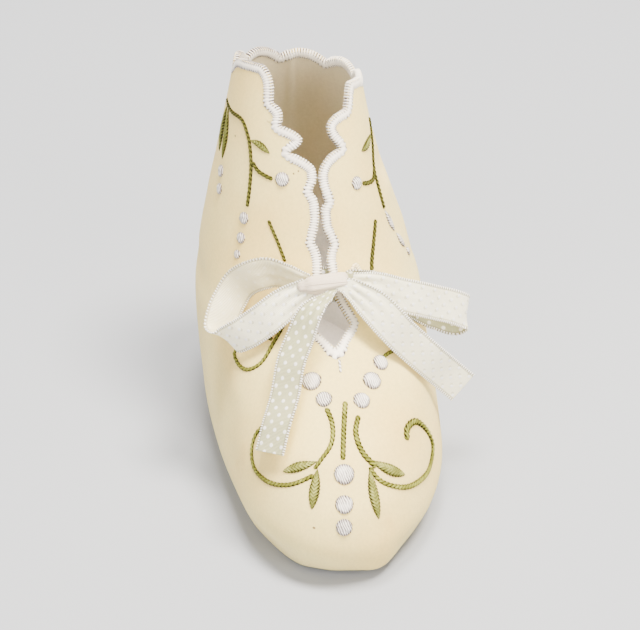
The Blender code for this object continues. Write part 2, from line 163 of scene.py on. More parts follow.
@dataclass
class Patch:
    """Points, texture places and faces of a surface, in millimetres."""

    points: Array
    places: Array
    faces: Array

    @staticmethod
    def from_grid(
        points: Array, u: Array, v: Array, loop_rows: bool = False, loop_columns: bool = False,
    ) -> "Patch":
        """Quads between neighbouring rows and columns of a grid of points.

        Args:
            points: Grid of points, rows by columns by 3.
            u: First texture place, which is broadcast with the second to rows by columns.
            v: Second texture place.
            loop_rows: Whether the last row joins the first.
            loop_columns: Whether the last column joins the first.

        Returns:
            The surface with one quad for each cell of the grid.
        """
        rows, columns = points.shape[:2]
        index = np.arange(rows * columns).reshape(rows, columns)
        if loop_rows:
            index = np.concatenate([index, index[:1]], axis=0)
        if loop_columns:
            index = np.concatenate([index, index[:, :1]], axis=1)
        corners = (index[:-1, :-1], index[:-1, 1:], index[1:, 1:], index[1:, :-1])
        faces = np.stack([corner.ravel() for corner in corners], axis=1)
        places = np.stack(np.broadcast_arrays(u, v), axis=-1)
        return Patch(points.reshape(-1, 3), places.reshape(-1, 2), faces)

    @staticmethod
    def joined(patches: Sequence["Patch"]) -> "Patch":
        """One surface of several.

        Args:
            patches: The surfaces, which keep their order.

        Returns:
            All their points and faces together.
        """
        starts = np.cumsum([0] + [len(patch.points) for patch in patches[:-1]])
        return Patch(
            np.concatenate([patch.points for patch in patches]),
            np.concatenate([patch.places for patch in patches]),
            np.concatenate([patch.faces + start for patch, start in zip(patches, starts)]),
        )

    def flipped(self) -> "Patch":
        """The same surface facing the other way."""
        return Patch(self.points, self.places, self.faces[:, ::-1])

    def keep_faces(self, kept: Array) -> "Patch":
        """The surface with only the faces where kept is true."""
        return Patch(self.points, self.places, self.faces[kept])

    def to_object(self, name: str, material: Material) -> Piece:
        """Mesh object of the surface, with doubled points merged, riding on the body.

        Args:
            name: The piece's name.
            material: Its finish.

        Returns:
            The new object, at the origin.
        """
        mesh = bpy.data.meshes.new(name)
        count = len(self.faces)
        mesh.vertices.add(len(self.points))
        mesh.vertices.foreach_set("co", (self.points * MM).astype(np.float32).ravel())
        mesh.loops.add(count * QUAD)
        mesh.loops.foreach_set("vertex_index", self.faces.astype(np.int32).ravel())
        mesh.polygons.add(count)
        starts = np.arange(0, count * QUAD, QUAD, dtype=np.int32)
        mesh.polygons.foreach_set("loop_start", starts)
        layer = mesh.uv_layers.new(name="places")
        layer.data.foreach_set("uv", self.places[self.faces.ravel()].astype(np.float32).ravel())
        mesh.update(calc_edges=True)
        mesh.validate()
        welded = bmesh.new()
        welded.from_mesh(mesh)
        bmesh.ops.remove_doubles(welded, verts=welded.verts, dist=WELD * MM)
        bmesh.ops.dissolve_degenerate(welded, edges=welded.edges, dist=WELD * MM)
        loose = [vert for vert in welded.verts if not vert.link_faces]
        bmesh.ops.delete(welded, geom=loose, context="VERTS")
        welded.to_mesh(mesh)
        welded.free()
        mesh.shade_smooth()
        mesh.materials.append(material)
        made = put_in_scene(name, mesh)
        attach(made, "root")
        return made


def thicken(piece: Piece, thickness: float, inside: Material) -> None:
    """Give a sheet its woven thickness, half to each side, and a finish on its inner face.

    Args:
        piece: The sheet.
        thickness: In millimetres.
        inside: Finish of the inner face.
    """
    piece.data.materials.append(inside)
    wall = piece.modifiers.new("wall", "SOLIDIFY")
    wall.thickness = thickness * MM
    wall.offset = 0.0
    wall.use_even_offset = False
    wall.material_offset = 1


@dataclass(frozen=True)
class Grain:
    """A noise on object coordinates: grains in a metre, octaves and the stretch of each axis."""

    scale: float
    octaves: float
    stretch: Optional[Row] = None


class NodeBench:
    """Short way to lay out the shader nodes of one material."""

    def __init__(self, name: str) -> None:
        """A new material with its Principled BSDF.

        Args:
            name: The material's name.
        """
        self.material = bpy.data.materials.new(name)
        self.material.use_nodes = True
        self.tree = self.material.node_tree
        self.shader = self.tree.nodes["Principled BSDF"]
        self.coordinates = self.add("ShaderNodeTexCoord")

    def add(self, kind: str, **settings: object) -> bpy.types.Node:
        """A new node.

        Args:
            kind: The node's type.
            **settings: Its properties.

        Returns:
            The node.
        """
        node = self.tree.nodes.new(kind)
        for key, value in settings.items():
            setattr(node, key, value)
        return node

    def feed(self, target: Socket, value: object) -> None:
        """Link a socket to another socket, or set its own value.

        Args:
            target: The socket that is fed.
            value: A socket, or the value to set.
        """
        if isinstance(value, Socket):
            self.tree.links.new(value, target)
        else:
            target.default_value = value

    def set(self, **values: object) -> None:
        """Set or link the shader's sockets by name, with _ for a space."""
        for key, value in values.items():
            self.feed(self.shader.inputs[key.replace("_", " ")], value)

    def math(self, operation: str, *values: object) -> Socket:
        """Result of a Math node.

        Args:
            operation: What the node does.
            *values: Sockets or numbers for its inputs.

        Returns:
            The node's result.
        """
        node = self.add("ShaderNodeMath", operation=operation)
        for socket, value in zip(node.inputs, values):
            self.feed(socket, value)
        return node.outputs[0]

    def mix(self, share: object, first: object, second: object) -> Socket:
        """Blend of two colours.

        Args:
            share: Share of the second colour.
            first: Socket or colour.
            second: Socket or colour.

        Returns:
            The blend.
        """
        node = self.add("ShaderNodeMix", data_type="RGBA")
        for index, value in zip(MIX_INPUTS, (share, first, second)):
            self.feed(node.inputs[index], (*value, 1.0) if isinstance(value, tuple) else value)
        return node.outputs[MIX_RESULT]

    def noise(self, grain: Grain) -> Socket:
        """Noise on object coordinates.

        Args:
            grain: Its scale, octaves and stretch.

        Returns:
            The noise, about 0.5.
        """
        node = self.add("ShaderNodeTexNoise")
        node.inputs["Scale"].default_value = grain.scale
        node.inputs["Detail"].default_value = grain.octaves
        source = self.coordinates.outputs["Object"]
        if grain.stretch is not None:
            mapping = self.add("ShaderNodeMapping")
            mapping.inputs["Scale"].default_value = grain.stretch
            self.feed(mapping.inputs["Vector"], source)
            source = mapping.outputs["Vector"]
        self.feed(node.inputs["Vector"], source)
        return node.outputs["Fac"]

    def between(self, value: object, low: float, high: float) -> Socket:
        """Smooth step of a value.

        Args:
            value: Socket of the value.
            low: Where the step is 0.
            high: Where the step is 1.

        Returns:
            The step.
        """
        node = self.add("ShaderNodeMapRange", interpolation_type="SMOOTHSTEP")
        self.feed(node.inputs["Value"], value)
        node.inputs["From Min"].default_value = low
        node.inputs["From Max"].default_value = high
        return node.outputs["Result"]

    def largest(self, values: Sequence[Socket]) -> Socket:
        """The largest of several values."""
        return reduce(lambda one, other: self.math("MAXIMUM", one, other), values)

    def distance(self, *steps: Socket) -> Socket:
        """Length of a step, from its parts at right angles."""
        squares = [self.math("MULTIPLY", step, step) for step in steps]
        return self.math("SQRT", self.math("ADD", *squares))

    def split(self, source: str) -> bpy.types.NodeOutputs:
        """The X, Y and Z outputs of a texture coordinate.

        Args:
            source: The coordinate's name.

        Returns:
            The outputs.
        """
        node = self.add("ShaderNodeSeparateXYZ")
        self.feed(node.inputs[0], self.coordinates.outputs[source])
        return node.outputs

    def places(self) -> tuple[Socket, Socket]:
        """The two texture places of the surface."""
        outputs = self.split("UV")
        return outputs["X"], outputs["Y"]

    def height(self) -> Socket:
        """Height above the floor, in metres."""
        return self.split("Object")["Z"]

    def wave(self, value: object, pitch: float) -> Socket:
        """Sine of a length at a pitch, from -1 to 1."""
        return self.math("SINE", self.math("MULTIPLY", value, TURN / pitch))

    def bump(self, height: object, depth: float, strength: float) -> None:
        """Raise the surface by a height.

        Args:
            height: Socket of the height.
            depth: Millimetres for a height of one.
            strength: Share of the effect.
        """
        node = self.add("ShaderNodeBump")
        node.inputs["Strength"].default_value = strength
        node.inputs["Distance"].default_value = depth * MM
        self.feed(node.inputs["Height"], height)
        self.feed(self.shader.inputs["Normal"], node.outputs["Normal"])


@dataclass(frozen=True)
class ClothFinish:
    """Fine woven cloth: a twill of two crossing thread lines under a soft nap."""

    name: str
    colour: Colour
    warm: Colour
    soiled: Colour
    # Pitch of the twill in millimetres, and the weft's as a share of it
    weave_pitch: float = 0.42
    weft_share: float = 0.5
    # Relief: depth in millimetres, and lifts of the twill, nap and slub beside the weft's
    weave_depth: float = 0.05
    weave_strength: float = 0.5
    twill_lift: float = 0.35
    nap_lift: float = 1.3
    slub_lift: float = 1.5
    nap: Grain = Grain(1500.0, 3.0)
    # The nap's tone: how much it varies, and its least
    nap_tone: Span = (0.24, 0.88)
    slub: Grain = Grain(160.0, 2.0, (1.0, 1.0, 5.0))
    patches: Grain = Grain(38.0, 2.5)
    patch_span: Span = (0.36, 0.72)
    marks: Grain = Grain(75.0, 4.0)
    mark_span: Span = (0.62, 0.80)
    mark_share: float = 0.35
    roughness: float = 0.88
    gloss: float = 0.15
    sheen: float = 0.1
    sheen_roughness: float = 0.45
    # Light that passes through the cloth, and how far it reaches in millimetres
    glow: float = 0.4
    glow_reach: float = 2.0
    glow_colour: Colour = (1.0, 0.9, 0.75)
    # Colour near the sole, where it differs, painted lighter as light that falls into the foot, and
    # the heights in metres between which it goes
    low: Optional[Colour] = None
    painted_light_end: float = 0.040
    painted_light_full: float = 0.024
    # Small brown specks: texture place both ways, radius
    specks: Rows = ()
    speck: Colour = (0.14, 0.085, 0.035)
    # Where a speck begins and where it is full, in radii
    speck_rim: Span = (1.4, 0.5)

    def speck_share(self, bench: NodeBench, u: Socket, v: Socket) -> Socket:
        """1 inside the specks, fading to 0 at their rims.

        Args:
            bench: The material's nodes.
            u: Texture place round the foot.
            v: Texture place up the front.

        Returns:
            The share.
        """
        begin, full = self.speck_rim
        shares = []
        for speck_u, speck_v, radius in self.specks:
            aside = bench.math("SUBTRACT", u, speck_u)
            above = bench.math("SUBTRACT", v, speck_v)
            away = bench.distance(aside, above)
            shares.append(bench.between(away, begin * radius, full * radius))
        return bench.largest(shares)

    def make(self) -> Material:
        """Lay out the nodes: colour in patches and marks, painted light near the sole where it is
        set, and the weave's relief.

        Returns:
            The finished material.
        """
        bench = NodeBench(self.name)
        u, v = bench.places()
        twill = bench.wave(bench.math("ADD", u, v), self.weave_pitch)
        weft = bench.wave(v, self.weave_pitch * self.weft_share)
        nap = bench.noise(self.nap)
        slub = bench.noise(self.slub)
        patches = bench.between(bench.noise(self.patches), *self.patch_span)
        marks = bench.between(bench.noise(self.marks), *self.mark_span)
        body = bench.mix(patches, self.colour, self.warm)
        # Painted light: lighter towards the sole, where light falls into the foot
        if self.low is not None:
            painted_light_share = bench.between(bench.height(), self.painted_light_end, self.painted_light_full)
            body = bench.mix(painted_light_share, body, self.low)
        shade = bench.mix(bench.math("MULTIPLY", marks, self.mark_share), body, self.soiled)
        if self.specks:
            shade = bench.mix(self.speck_share(bench, u, v), shade, self.speck)
        tone = bench.add("ShaderNodeVectorMath", operation="SCALE")
        bench.feed(tone.inputs[0], shade)
        bench.feed(tone.inputs["Scale"], bench.math("MULTIPLY_ADD", nap, *self.nap_tone))
        napped = bench.math("MULTIPLY_ADD", nap, self.nap_lift, weft)
        woven = bench.math("MULTIPLY_ADD", twill, self.twill_lift, napped)
        slubbed = bench.math("MULTIPLY_ADD", slub, self.slub_lift, woven)
        bench.bump(slubbed, self.weave_depth, self.weave_strength)
        bench.set(
            Base_Color=tone.outputs[0],
            Roughness=self.roughness,
            Specular_IOR_Level=self.gloss,
            Sheen_Weight=self.sheen,
            Sheen_Roughness=self.sheen_roughness,
            Subsurface_Weight=self.glow,
            Subsurface_Radius=self.glow_colour,
            Subsurface_Scale=self.glow_reach * MM,
        )
        return bench.material


@dataclass(frozen=True)
class SilkFinish:
    """Silk stitches: threads side by side, with painted shade in the grooves that is darkest at the
    stitches' ends.

    The texture places count the stitches one way and run from -1 to 1 across them the other way.
    """

    name: str
    colour: Colour
    painted_shade: Colour
    pale: Colour
    # Painted shade: darkness of the grooves and of the stitches' ends
    groove: float
    edge: float
    # Where across the stitches their ends begin to darken
    edge_from: float = 0.6
    # Heights of the threads' wave between which a groove's painted shade comes in
    groove_span: Span = (0.4, -0.7)
    # Share of a groove's darkness at the middle of the stitches
    centre: float = 0.2
    depth: float = 0.07
    strength: float = 0.8
    # How far the threads stray sideways, in stitches, and how much the straying lifts them
    stray: float = 0.3
    stray_lift: float = 0.8
    straying: Grain = Grain(650.0, 2.0)
    streaks: Grain = Grain(420.0, 3.0)
    streak_span: Span = (0.42, 0.66)
    unevenness: Grain = Grain(380.0, 1.0)
    uneven_span: Span = (0.34, 0.60)
    # Darkness of the grooves: how much it varies, and its least
    uneven_tone: Span = (0.6, 0.4)
    roughness: float = 0.42
    # Share of the full gloss, and what the full gloss is made of
    gloss: float = 1.0
    specular: float = 0.5
    sheen: float = 0.15
    coat: float = 0.08
    coat_roughness: float = 0.35
    # Colour on the shaft, where it differs, and the heights between which it comes in
    shaft: Optional[Colour] = None
    shaft_from: float = 0.030
    shaft_full: float = 0.044

    def make(self) -> Material:
        """Lay out the nodes: streaked silk, with painted shade in the grooves and at the stitches'
        ends.

        Returns:
            The finished material.
        """
        bench = NodeBench(self.name)
        u, v = bench.places()
        waver = bench.noise(self.straying)
        threads = bench.wave(bench.math("MULTIPLY_ADD", waver, self.stray, u), 1.0)
        grooves = bench.between(threads, *self.groove_span)
        ends = bench.between(bench.math("ABSOLUTE", v), self.edge_from, 1.0)
        streak = bench.between(bench.noise(self.streaks), *self.streak_span)
        body = bench.mix(streak, self.colour, self.pale)
        if self.shaft is not None:
            height = bench.between(bench.height(), self.shaft_from, self.shaft_full)
            body = bench.mix(height, body, self.shaft)
        patchy = bench.between(bench.noise(self.unevenness), *self.uneven_span)
        uneven = bench.math("MULTIPLY_ADD", patchy, *self.uneven_tone)
        # Painted shade in the grooves and at the stitches' ends, mixed towards the shade colour
        along = bench.math("MULTIPLY_ADD", ends, 1.0 - self.centre, self.centre)
        cut = bench.math("MULTIPLY", bench.math("MULTIPLY", grooves, along), uneven)
        rims = bench.math("MULTIPLY", ends, self.edge)
        painted_shade_share = bench.math("MINIMUM", bench.math("MULTIPLY_ADD", cut, self.groove, rims), 1.0)
        bench.set(
            Base_Color=bench.mix(painted_shade_share, body, self.painted_shade),
            Roughness=self.roughness,
            Specular_IOR_Level=self.specular * self.gloss,
            Sheen_Weight=self.sheen * self.gloss,
            Coat_Weight=self.coat * self.gloss,
            Coat_Roughness=self.coat_roughness,
        )
        relief = bench.math("MULTIPLY_ADD", waver, self.stray_lift, threads)
        bench.bump(relief, self.depth, self.strength)
        return bench.material


@dataclass(frozen=True)
class RibbonFinish:
    """Satin ribbon: fine cross ribs and woven white pin dots in staggered rows, with painted lustre
    and painted shade.
    """

    name: str
    colour: Colour
    # Darker colour of the painted lustre and of the ribs' painted shade
    painted_shade: Colour
    dot: Colour
    # Painted shade: in the groove inside each edge, beside each dot and between the edge's beads
    shade: Colour
    # Dots: pitch along and across the ribbon and radius, in millimetres
    dot_along: float = 3.3
    dot_across: float = 2.7
    dot_radius: float = 0.34
    # Where a dot begins and where it is full, in radii
    dot_rim: Span = (1.35, 0.75)
    dot_weight: float = 1.0
    dot_roughness: float = 0.15
    # The second lattice stands half a cell on, and both start this many cells before the ribbon
    stagger: float = 0.5
    cells_before: float = 20.0
    # Painted shadow beside each dot, and how far along its cell the shadow lies
    dot_shadow_weight: float = 0.0
    dot_shadow_shift: float = 0.11
    # Fine cross ribs: pitch, and how strong their painted shade is
    rib_pitch: float = 0.28
    rib_tone: float = 0.06
    half_width: float = 3.75
    # Beads along the edges: pitch, and the heights of their wave between which they show
    picot_pitch: float = 0.55
    bead_span: Span = (-0.6, 0.3)
    # Beaded edges: width, and half the length over which they blend in
    edge_width: float = 0.42
    edge_blend: float = 0.06
    # Painted shade in a groove inside each edge: where it begins and is full, measured from the edge,
    # and its weight
    groove_width: float = 0.4
    groove_full: float = 0.1
    groove_weight: float = 0.55
    # Painted lustre: soft patches of painted sheen, between the colour and its darker one
    lustre: Grain = Grain(120.0, 2.0)
    lustre_span: Span = (0.35, 0.7)
    # Relief: depth in millimetres, and lifts of the edge, dots and groove beside the ribs'
    depth: float = 0.04
    strength: float = 0.8
    edge_lift: float = 1.5
    dot_lift: float = 2.5
    groove_lift: float = -1.5
    roughness: float = 0.38
    sheen: float = 0.2
    coat: float = 0.1
    coat_roughness: float = 0.3
    glow: float = 0.35
    glow_reach: float = 0.8
    glow_colour: Colour = (1.0, 1.0, 0.8)

    def dot_share(self, bench: NodeBench, along: Socket, across: Socket, shift: float) -> Socket:
        """1 inside the dots of one lattice, fading to 0 at their rims.

        Args:
            bench: The material's nodes.
            along: Place along the ribbon.
            across: Place across the ribbon.
            shift: Share of a cell that the lattice is moved both ways.

        Returns:
            The share.
        """
        cells = []
        for place, pitch in ((along, self.dot_along), (across, self.dot_across)):
            count = bench.math("MULTIPLY_ADD", place, 1.0 / pitch, shift + self.cells_before)
            middle = bench.math("SUBTRACT", bench.math("FRACT", count), 0.5)
            cells.append(bench.math("MULTIPLY", middle, pitch))
        begin, full = self.dot_rim
        return bench.between(bench.distance(*cells), self.dot_radius * begin, self.dot_radius * full)

    def lattices(self, bench: NodeBench, along: Socket, across: Socket, shift: float) -> Socket:
        """1 inside the dots of both staggered lattices, moved by a share of a cell."""
        shifts = (shift, shift + self.stagger)
        return bench.largest([self.dot_share(bench, along, across, each) for each in shifts])

    def make(self) -> Material:
        """Lay out the nodes: ribbed satin, its dots, and beaded edges with a groove inside, all with
        painted shade and lustre.

        Returns:
            The finished material.
        """
        bench = NodeBench(self.name)
        along, across = bench.places()
        dots = bench.math("MULTIPLY", self.lattices(bench, along, across, 0.0), self.dot_weight)
        # Painted shadow beside each dot: both lattices again, moved a little along
        specks = self.lattices(bench, along, across, self.dot_shadow_shift)
        ribs = bench.wave(along, self.rib_pitch)
        lustre = bench.between(bench.noise(self.lustre), *self.lustre_span)
        ground = bench.mix(lustre, self.colour, self.painted_shade)
        rib_share = bench.math("MULTIPLY_ADD", ribs, self.rib_tone, self.rib_tone)
        ribbed = bench.mix(rib_share, ground, self.painted_shade)
        inner = self.half_width - self.edge_width
        side = bench.math("ABSOLUTE", across)
        rim = bench.between(side, inner - self.edge_blend, inner + self.edge_blend)
        beads = bench.between(bench.wave(along, self.picot_pitch), *self.bead_span)
        nearing = bench.between(side, inner - self.groove_width, inner - self.groove_full)
        groove = bench.math("MULTIPLY", nearing, bench.math("SUBTRACT", 1.0, rim))
        groove_share = bench.math("MULTIPLY", groove, self.groove_weight)
        grooved = bench.mix(groove_share, ribbed, self.shade)
        speck_share = bench.math("MULTIPLY", specks, self.dot_shadow_weight)
        dot_shadowed = bench.mix(speck_share, grooved, self.shade)
        edged = bench.mix(rim, dot_shadowed, bench.mix(beads, self.shade, self.dot))
        bench.set(
            Base_Color=bench.mix(dots, edged, self.dot),
            Roughness=bench.math("MULTIPLY_ADD", dots, self.dot_roughness, self.roughness),
            Sheen_Weight=self.sheen,
            Coat_Weight=self.coat,
            Coat_Roughness=self.coat_roughness,
            Subsurface_Weight=self.glow,
            Subsurface_Radius=self.glow_colour,
            Subsurface_Scale=self.glow_reach * MM,
        )
        dotted = bench.math("MULTIPLY_ADD", dots, self.dot_lift, ribs)
        raised = bench.math("MULTIPLY_ADD", rim, self.edge_lift, dotted)
        relief = bench.math("MULTIPLY_ADD", groove, self.groove_lift, raised)
        bench.bump(relief, self.depth, self.strength)
        return bench.material


@dataclass(frozen=True)
class FloorFinish:
    """Matt pale studio floor with the faintest mottle."""

    name: str = "studio_floor"
    colour: Colour = (0.34, 0.375, 0.45)
    mottle: Colour = (0.32, 0.35, 0.425)
    mottling: Grain = Grain(6.0, 3.0)
    tooth: Grain = Grain(900.0, 2.0)
    tooth_depth: float = 0.05
    tooth_strength: float = 0.2
    roughness: float = 0.7

    def make(self) -> Material:
        """Lay out the nodes: two pale greys and a slight tooth.

        Returns:
            The finished material.
        """
        bench = NodeBench(self.name)
        mottled = bench.mix(bench.noise(self.mottling), self.colour, self.mottle)
        bench.set(Base_Color=mottled, Roughness=self.roughness)
        bench.bump(bench.noise(self.tooth), self.tooth_depth, self.tooth_strength)
        return bench.material


class Side(Enum):
    """The two sides of the bootie, as the sign of x."""

    LEFT = -1.0
    RIGHT = 1.0


@dataclass
class Last:
    """The foot's form: the middle of the upper's wall as stacked sections with level sizes."""

    level_columns: tuple[str, ...] = (
        "front_y", "front_z", "back_y", "back_z",
        "half_width", "widest_y", "toe_fullness", "heel_fullness",
    )
    levels: Rows = (
        (-48.0, 3.0, 47.7, 3.0, 21.6, -6.0, 2.5, 2.2),
        (-51.6, 8.0, 50.8, 8.0, 23.7, -3.0, 2.45, 2.25),
        (-50.0, 15.8, 51.7, 15.4, 24.2, 4.0, 2.25, 2.3),
        (-43.6, 23.5, 51.1, 22.9, 24.3, 12.0, 1.95, 2.3),
        (-33.2, 29.7, 50.1, 30.9, 24.1, 17.0, 1.9, 2.3),
        (-21.7, 35.5, 48.9, 38.4, 23.3, 20.0, 1.9, 2.2),
        (-10.5, 42.8, 47.4, 45.9, 22.1, 21.0, 1.9, 2.2),
        (-3.4, 51.8, 45.9, 52.9, 20.5, 22.0, 1.95, 2.2),
        (1.1, 61.3, 44.6, 60.3, 18.5, 23.5, 2.0, 2.1),
        (5.6, 71.3, 43.4, 67.3, 16.5, 25.5, 2.0, 2.1),
        (10.1, 80.8, 42.4, 73.3, 14.8, 27.0, 2.0, 2.1),
        (14.1, 89.3, 41.6, 79.5, 13.3, 28.5, 2.0, 2.1),
    )
    # The foot's middle line: y, across
    middle: Rows = (
        (-52.0, -2.4), (-36.0, -0.9), (-20.0, 0.5), (-8.0, 0.4), (6.0, 0.0), (52.0, 0.0),
    )
    toe_spring: float = 1.8
    toe_spring_start_y: float = -36.0
    heel_spring: float = 0.6
    heel_spring_start_y: float = 40.0
    spring_fade: float = 20.0
    collar_tilt: float = 0.15
    tilt_start: float = 55.0
    # Soft creases: round and travel of both ends, height (ridges up, troughs down), half width
    creases: Rows = (
        (62.0, 90.0, 84.0, 84.0, -0.7, 2.6),
        (58.0, 84.0, 80.0, 79.5, 0.5, 2.4),
        (34.0, 46.0, 50.0, 22.0, 0.35, 3.0),
        (-38.0, 60.0, -60.0, 56.0, -0.5, 3.0),
        (-30.0, 40.0, -20.0, 20.0, -0.35, 4.0),
        (88.0, 122.0, 92.0, 64.0, -1.6, 10.0),
        (84.0, 57.0, 84.0, 36.0, 0.65, 5.0),
        (-72.0, 34.0, -66.0, 8.0, -0.5, 3.2),
        (-57.0, 34.0, -53.0, 10.0, 0.35, 3.0),
        (12.5, -6.0, 16.0, 6.0, 1.5, 2.2),
        (24.0, 0.0, 50.0, 1.0, -0.8, 4.0),
        (-22.0, 0.0, -56.0, 1.0, -1.45, 4.0),
        (-120.0, 70.0, -150.0, 62.0, -0.6, 3.0),
        (118.0, 72.0, 150.0, 63.0, -0.6, 3.0),
        (-110.0, 44.0, -80.0, 52.0, -0.5, 3.5),
        (108.0, 46.0, 82.0, 54.0, -0.5, 3.5),
    )
    # Millimetres round the foot for a radian, in creases and in the cloth's texture places
    crease_radius: float = 20.0
    # Share of a crease's height at its ends
    crease_end: float = 0.35
    # Creases fade towards the back seam over these degrees
    seam_fade: float = 25.0
    # Groove of the back seam: depth, half width in degrees
    seam_depth: float = 0.25
    seam_half: float = 2.0
    # The cloth rounds out to the sole: how far at the lowest section, at the sides and at the
    # toe, over which degrees, and up to where
    fullness: float = 0.3
    toe_fullness: float = 1.6
    toe_fullness_spread: float = 60.0
    fullness_rise: float = 3.2
    # Steps of angle and travel between the points that give the wall's slopes
    slope_turn: float = 0.004
    slope_rise: float = 0.08
    # Widest share of a section's half width that is looked up on its front half
    front_share: float = 0.999
    table: Array = field(init=False)
    level_travel: Array = field(init=False)

    def __post_init__(self) -> None:
        """Work out the travel of each level from its front line."""
        self.table = np.array(self.levels, float)
        self.level_travel = run_length(self.table[:, :2])

    @property
    def collar_travel(self) -> float:
        """Travel of the collar line."""
        return float(self.level_travel[-1])

    def level_at(self, travel: Array) -> dict[str, Array]:
        """The sizes of the section at each travel, by column name."""
        read = curve_through(np.asarray(travel, float), self.level_travel, self.table)
        return {name: read[..., k] for k, name in enumerate(self.level_columns)}

    def spring(self, y: Array) -> Array:
        """How far the sole's edge rises: a square law from where each spring starts.

        Args:
            y: Place along the foot.

        Returns:
            The rise.
        """
        toe_run = self.toe_spring_start_y - self.levels[0][0]
        heel_run = self.levels[0][2] - self.heel_spring_start_y
        toe = np.clip((self.toe_spring_start_y - y) / toe_run, 0.0, 1.0)
        heel = np.clip((y - self.heel_spring_start_y) / heel_run, 0.0, 1.0)
        return self.toe_spring * toe**2 + self.heel_spring * heel**2

    def turn(self, y: Array) -> Array:
        """Sideways place of the foot's middle line."""
        line = np.array(self.middle, float)
        return curve_through(y, line[:, 0], line[:, 1])

    def section(
        self, angle: Array, level: dict[str, Array], grow: float = 0.0,
    ) -> tuple[Array, Array]:
        """Half section of a level, a rounded oval with its own fullness in front and behind.

        Args:
            angle: From the front, 0, to the back, pi.
            level: The level's sizes.
            grow: How far the outline is moved outwards.

        Returns:
            Distance from the middle line, and y.
        """
        c = np.cos(angle)
        ahead = level["widest_y"] - level["front_y"] + grow
        behind = level["back_y"] - level["widest_y"] + grow
        y = level["widest_y"] - np.where(c > 0.0, ahead, behind) * c
        fullness = np.where(c > 0.0, level["toe_fullness"], level["heel_fullness"])
        bulge = np.sqrt(np.clip(1.0 - np.abs(c) ** fullness, 0.0, 1.0))
        return (level["half_width"] + grow) * bulge, y

    def wall(self, around: Array, travel: Array) -> Array:
        """Points in the middle of the upper's wall.

        Each level's section is laid level across, sloped from its front to its back height,
        lifted near the sole by the spring and tipped sideways towards the collar.

        Args:
            around: Angle about the foot in radians, positive on the right.
            travel: Distance up the front.

        Returns:
            Points in millimetres.
        """
        around, travel = np.broadcast_arrays(np.asarray(around, float), np.asarray(travel, float))
        around = wrapped(around)
        side = np.where(around < 0.0, -1.0, 1.0)
        level = self.level_at(travel)
        across, y = self.section(np.abs(around), level)
        share = (y - level["front_y"]) / (level["back_y"] - level["front_y"])
        z = level["front_z"] + (level["back_z"] - level["front_z"]) * share
        z = z + self.spring(y) * np.clip(1.0 - travel / self.spring_fade, 0.0, 1.0)
        tipped = ease((travel - self.tilt_start) / (self.collar_travel - self.tilt_start))
        z = z - self.collar_tilt * side * across * tipped
        return np.stack([side * across + self.turn(y), y, z], axis=-1)

    def slopes(self, around: Array, travel: Array) -> tuple[Array, Array]:
        """Change of the wall's point with the angle and with the travel.

        Args:
            around: Angle about the foot in radians.
            travel: Distance up the front.

        Returns:
            The two slopes, from points a small step to each side.
        """
        turn, rise = self.slope_turn, self.slope_rise
        by_angle = self.wall(around + turn, travel) - self.wall(around - turn, travel)
        by_travel = self.wall(around, travel + rise) - self.wall(around, travel - rise)
        return by_angle / (2.0 * turn), by_travel / (2.0 * rise)

    def outward(self, around: Array, travel: Array) -> Array:
        """The way out of the wall, as the cross product of its two slopes."""
        return np.cross(*self.slopes(around, travel))

    def crease_height(self, around: Array, travel: Array) -> Array:
        """Sum of the soft creases, the back seam's groove and the cloth's fullness above the sole.

        A crease is a bell across its line that fades at both ends and towards the back seam. The
        groove is a narrow bell, and the fullness fades upwards.

        Args:
            around: Angle about the foot in radians.
            travel: Distance up the front.

        Returns:
            The height off the wall.
        """
        height = np.zeros(np.broadcast(around, travel).shape)
        radius = self.crease_radius
        for start_round, start_travel, end_round, end_travel, rise, half_width in self.creases:
            start = np.array([math.radians(start_round) * radius, start_travel])
            along = np.array([math.radians(end_round) * radius, end_travel]) - start
            length = float(np.hypot(*along))
            along = along / length
            right, up = around * radius - start[0], travel - start[1]
            place = (right * along[0] + up * along[1]) / length
            aside = right * along[1] - up * along[0]
            beyond = np.maximum(np.maximum(-place, place - 1.0), 0.0) * length
            swell = np.sin(math.pi * np.clip(place, 0.0, 1.0))
            fade = self.crease_end + (1.0 - self.crease_end) * swell
            height = height + rise * fade * bell(np.hypot(aside, beyond) / half_width)
        degrees = np.degrees(np.abs(wrapped(around)))
        to_seam = 180.0 - degrees
        height = height * ease(to_seam / self.seam_fade)
        height = height - self.seam_depth * bell(to_seam / self.seam_half)
        ahead = np.clip(degrees / self.toe_fullness_spread, 0.0, 1.0)
        low = self.fullness + self.toe_fullness * np.cos(0.5 * math.pi * ahead) ** 2
        return height + low * bell(np.maximum(travel, 0.0) / self.fullness_rise)

    def surface(self, around: Array, travel: Array, out: Array = 0.0) -> Array:
        """Points off the wall along its normal, with the soft creases added.

        Args:
            around: Angle about the foot in radians.
            travel: Distance up the front.
            out: Distance outwards from the middle of the wall.

        Returns:
            Points in millimetres.
        """
        normal = unit(self.outward(around, travel))
        lift = np.asarray(out) + self.crease_height(around, travel)
        return self.wall(around, travel) + normal * lift[..., None]

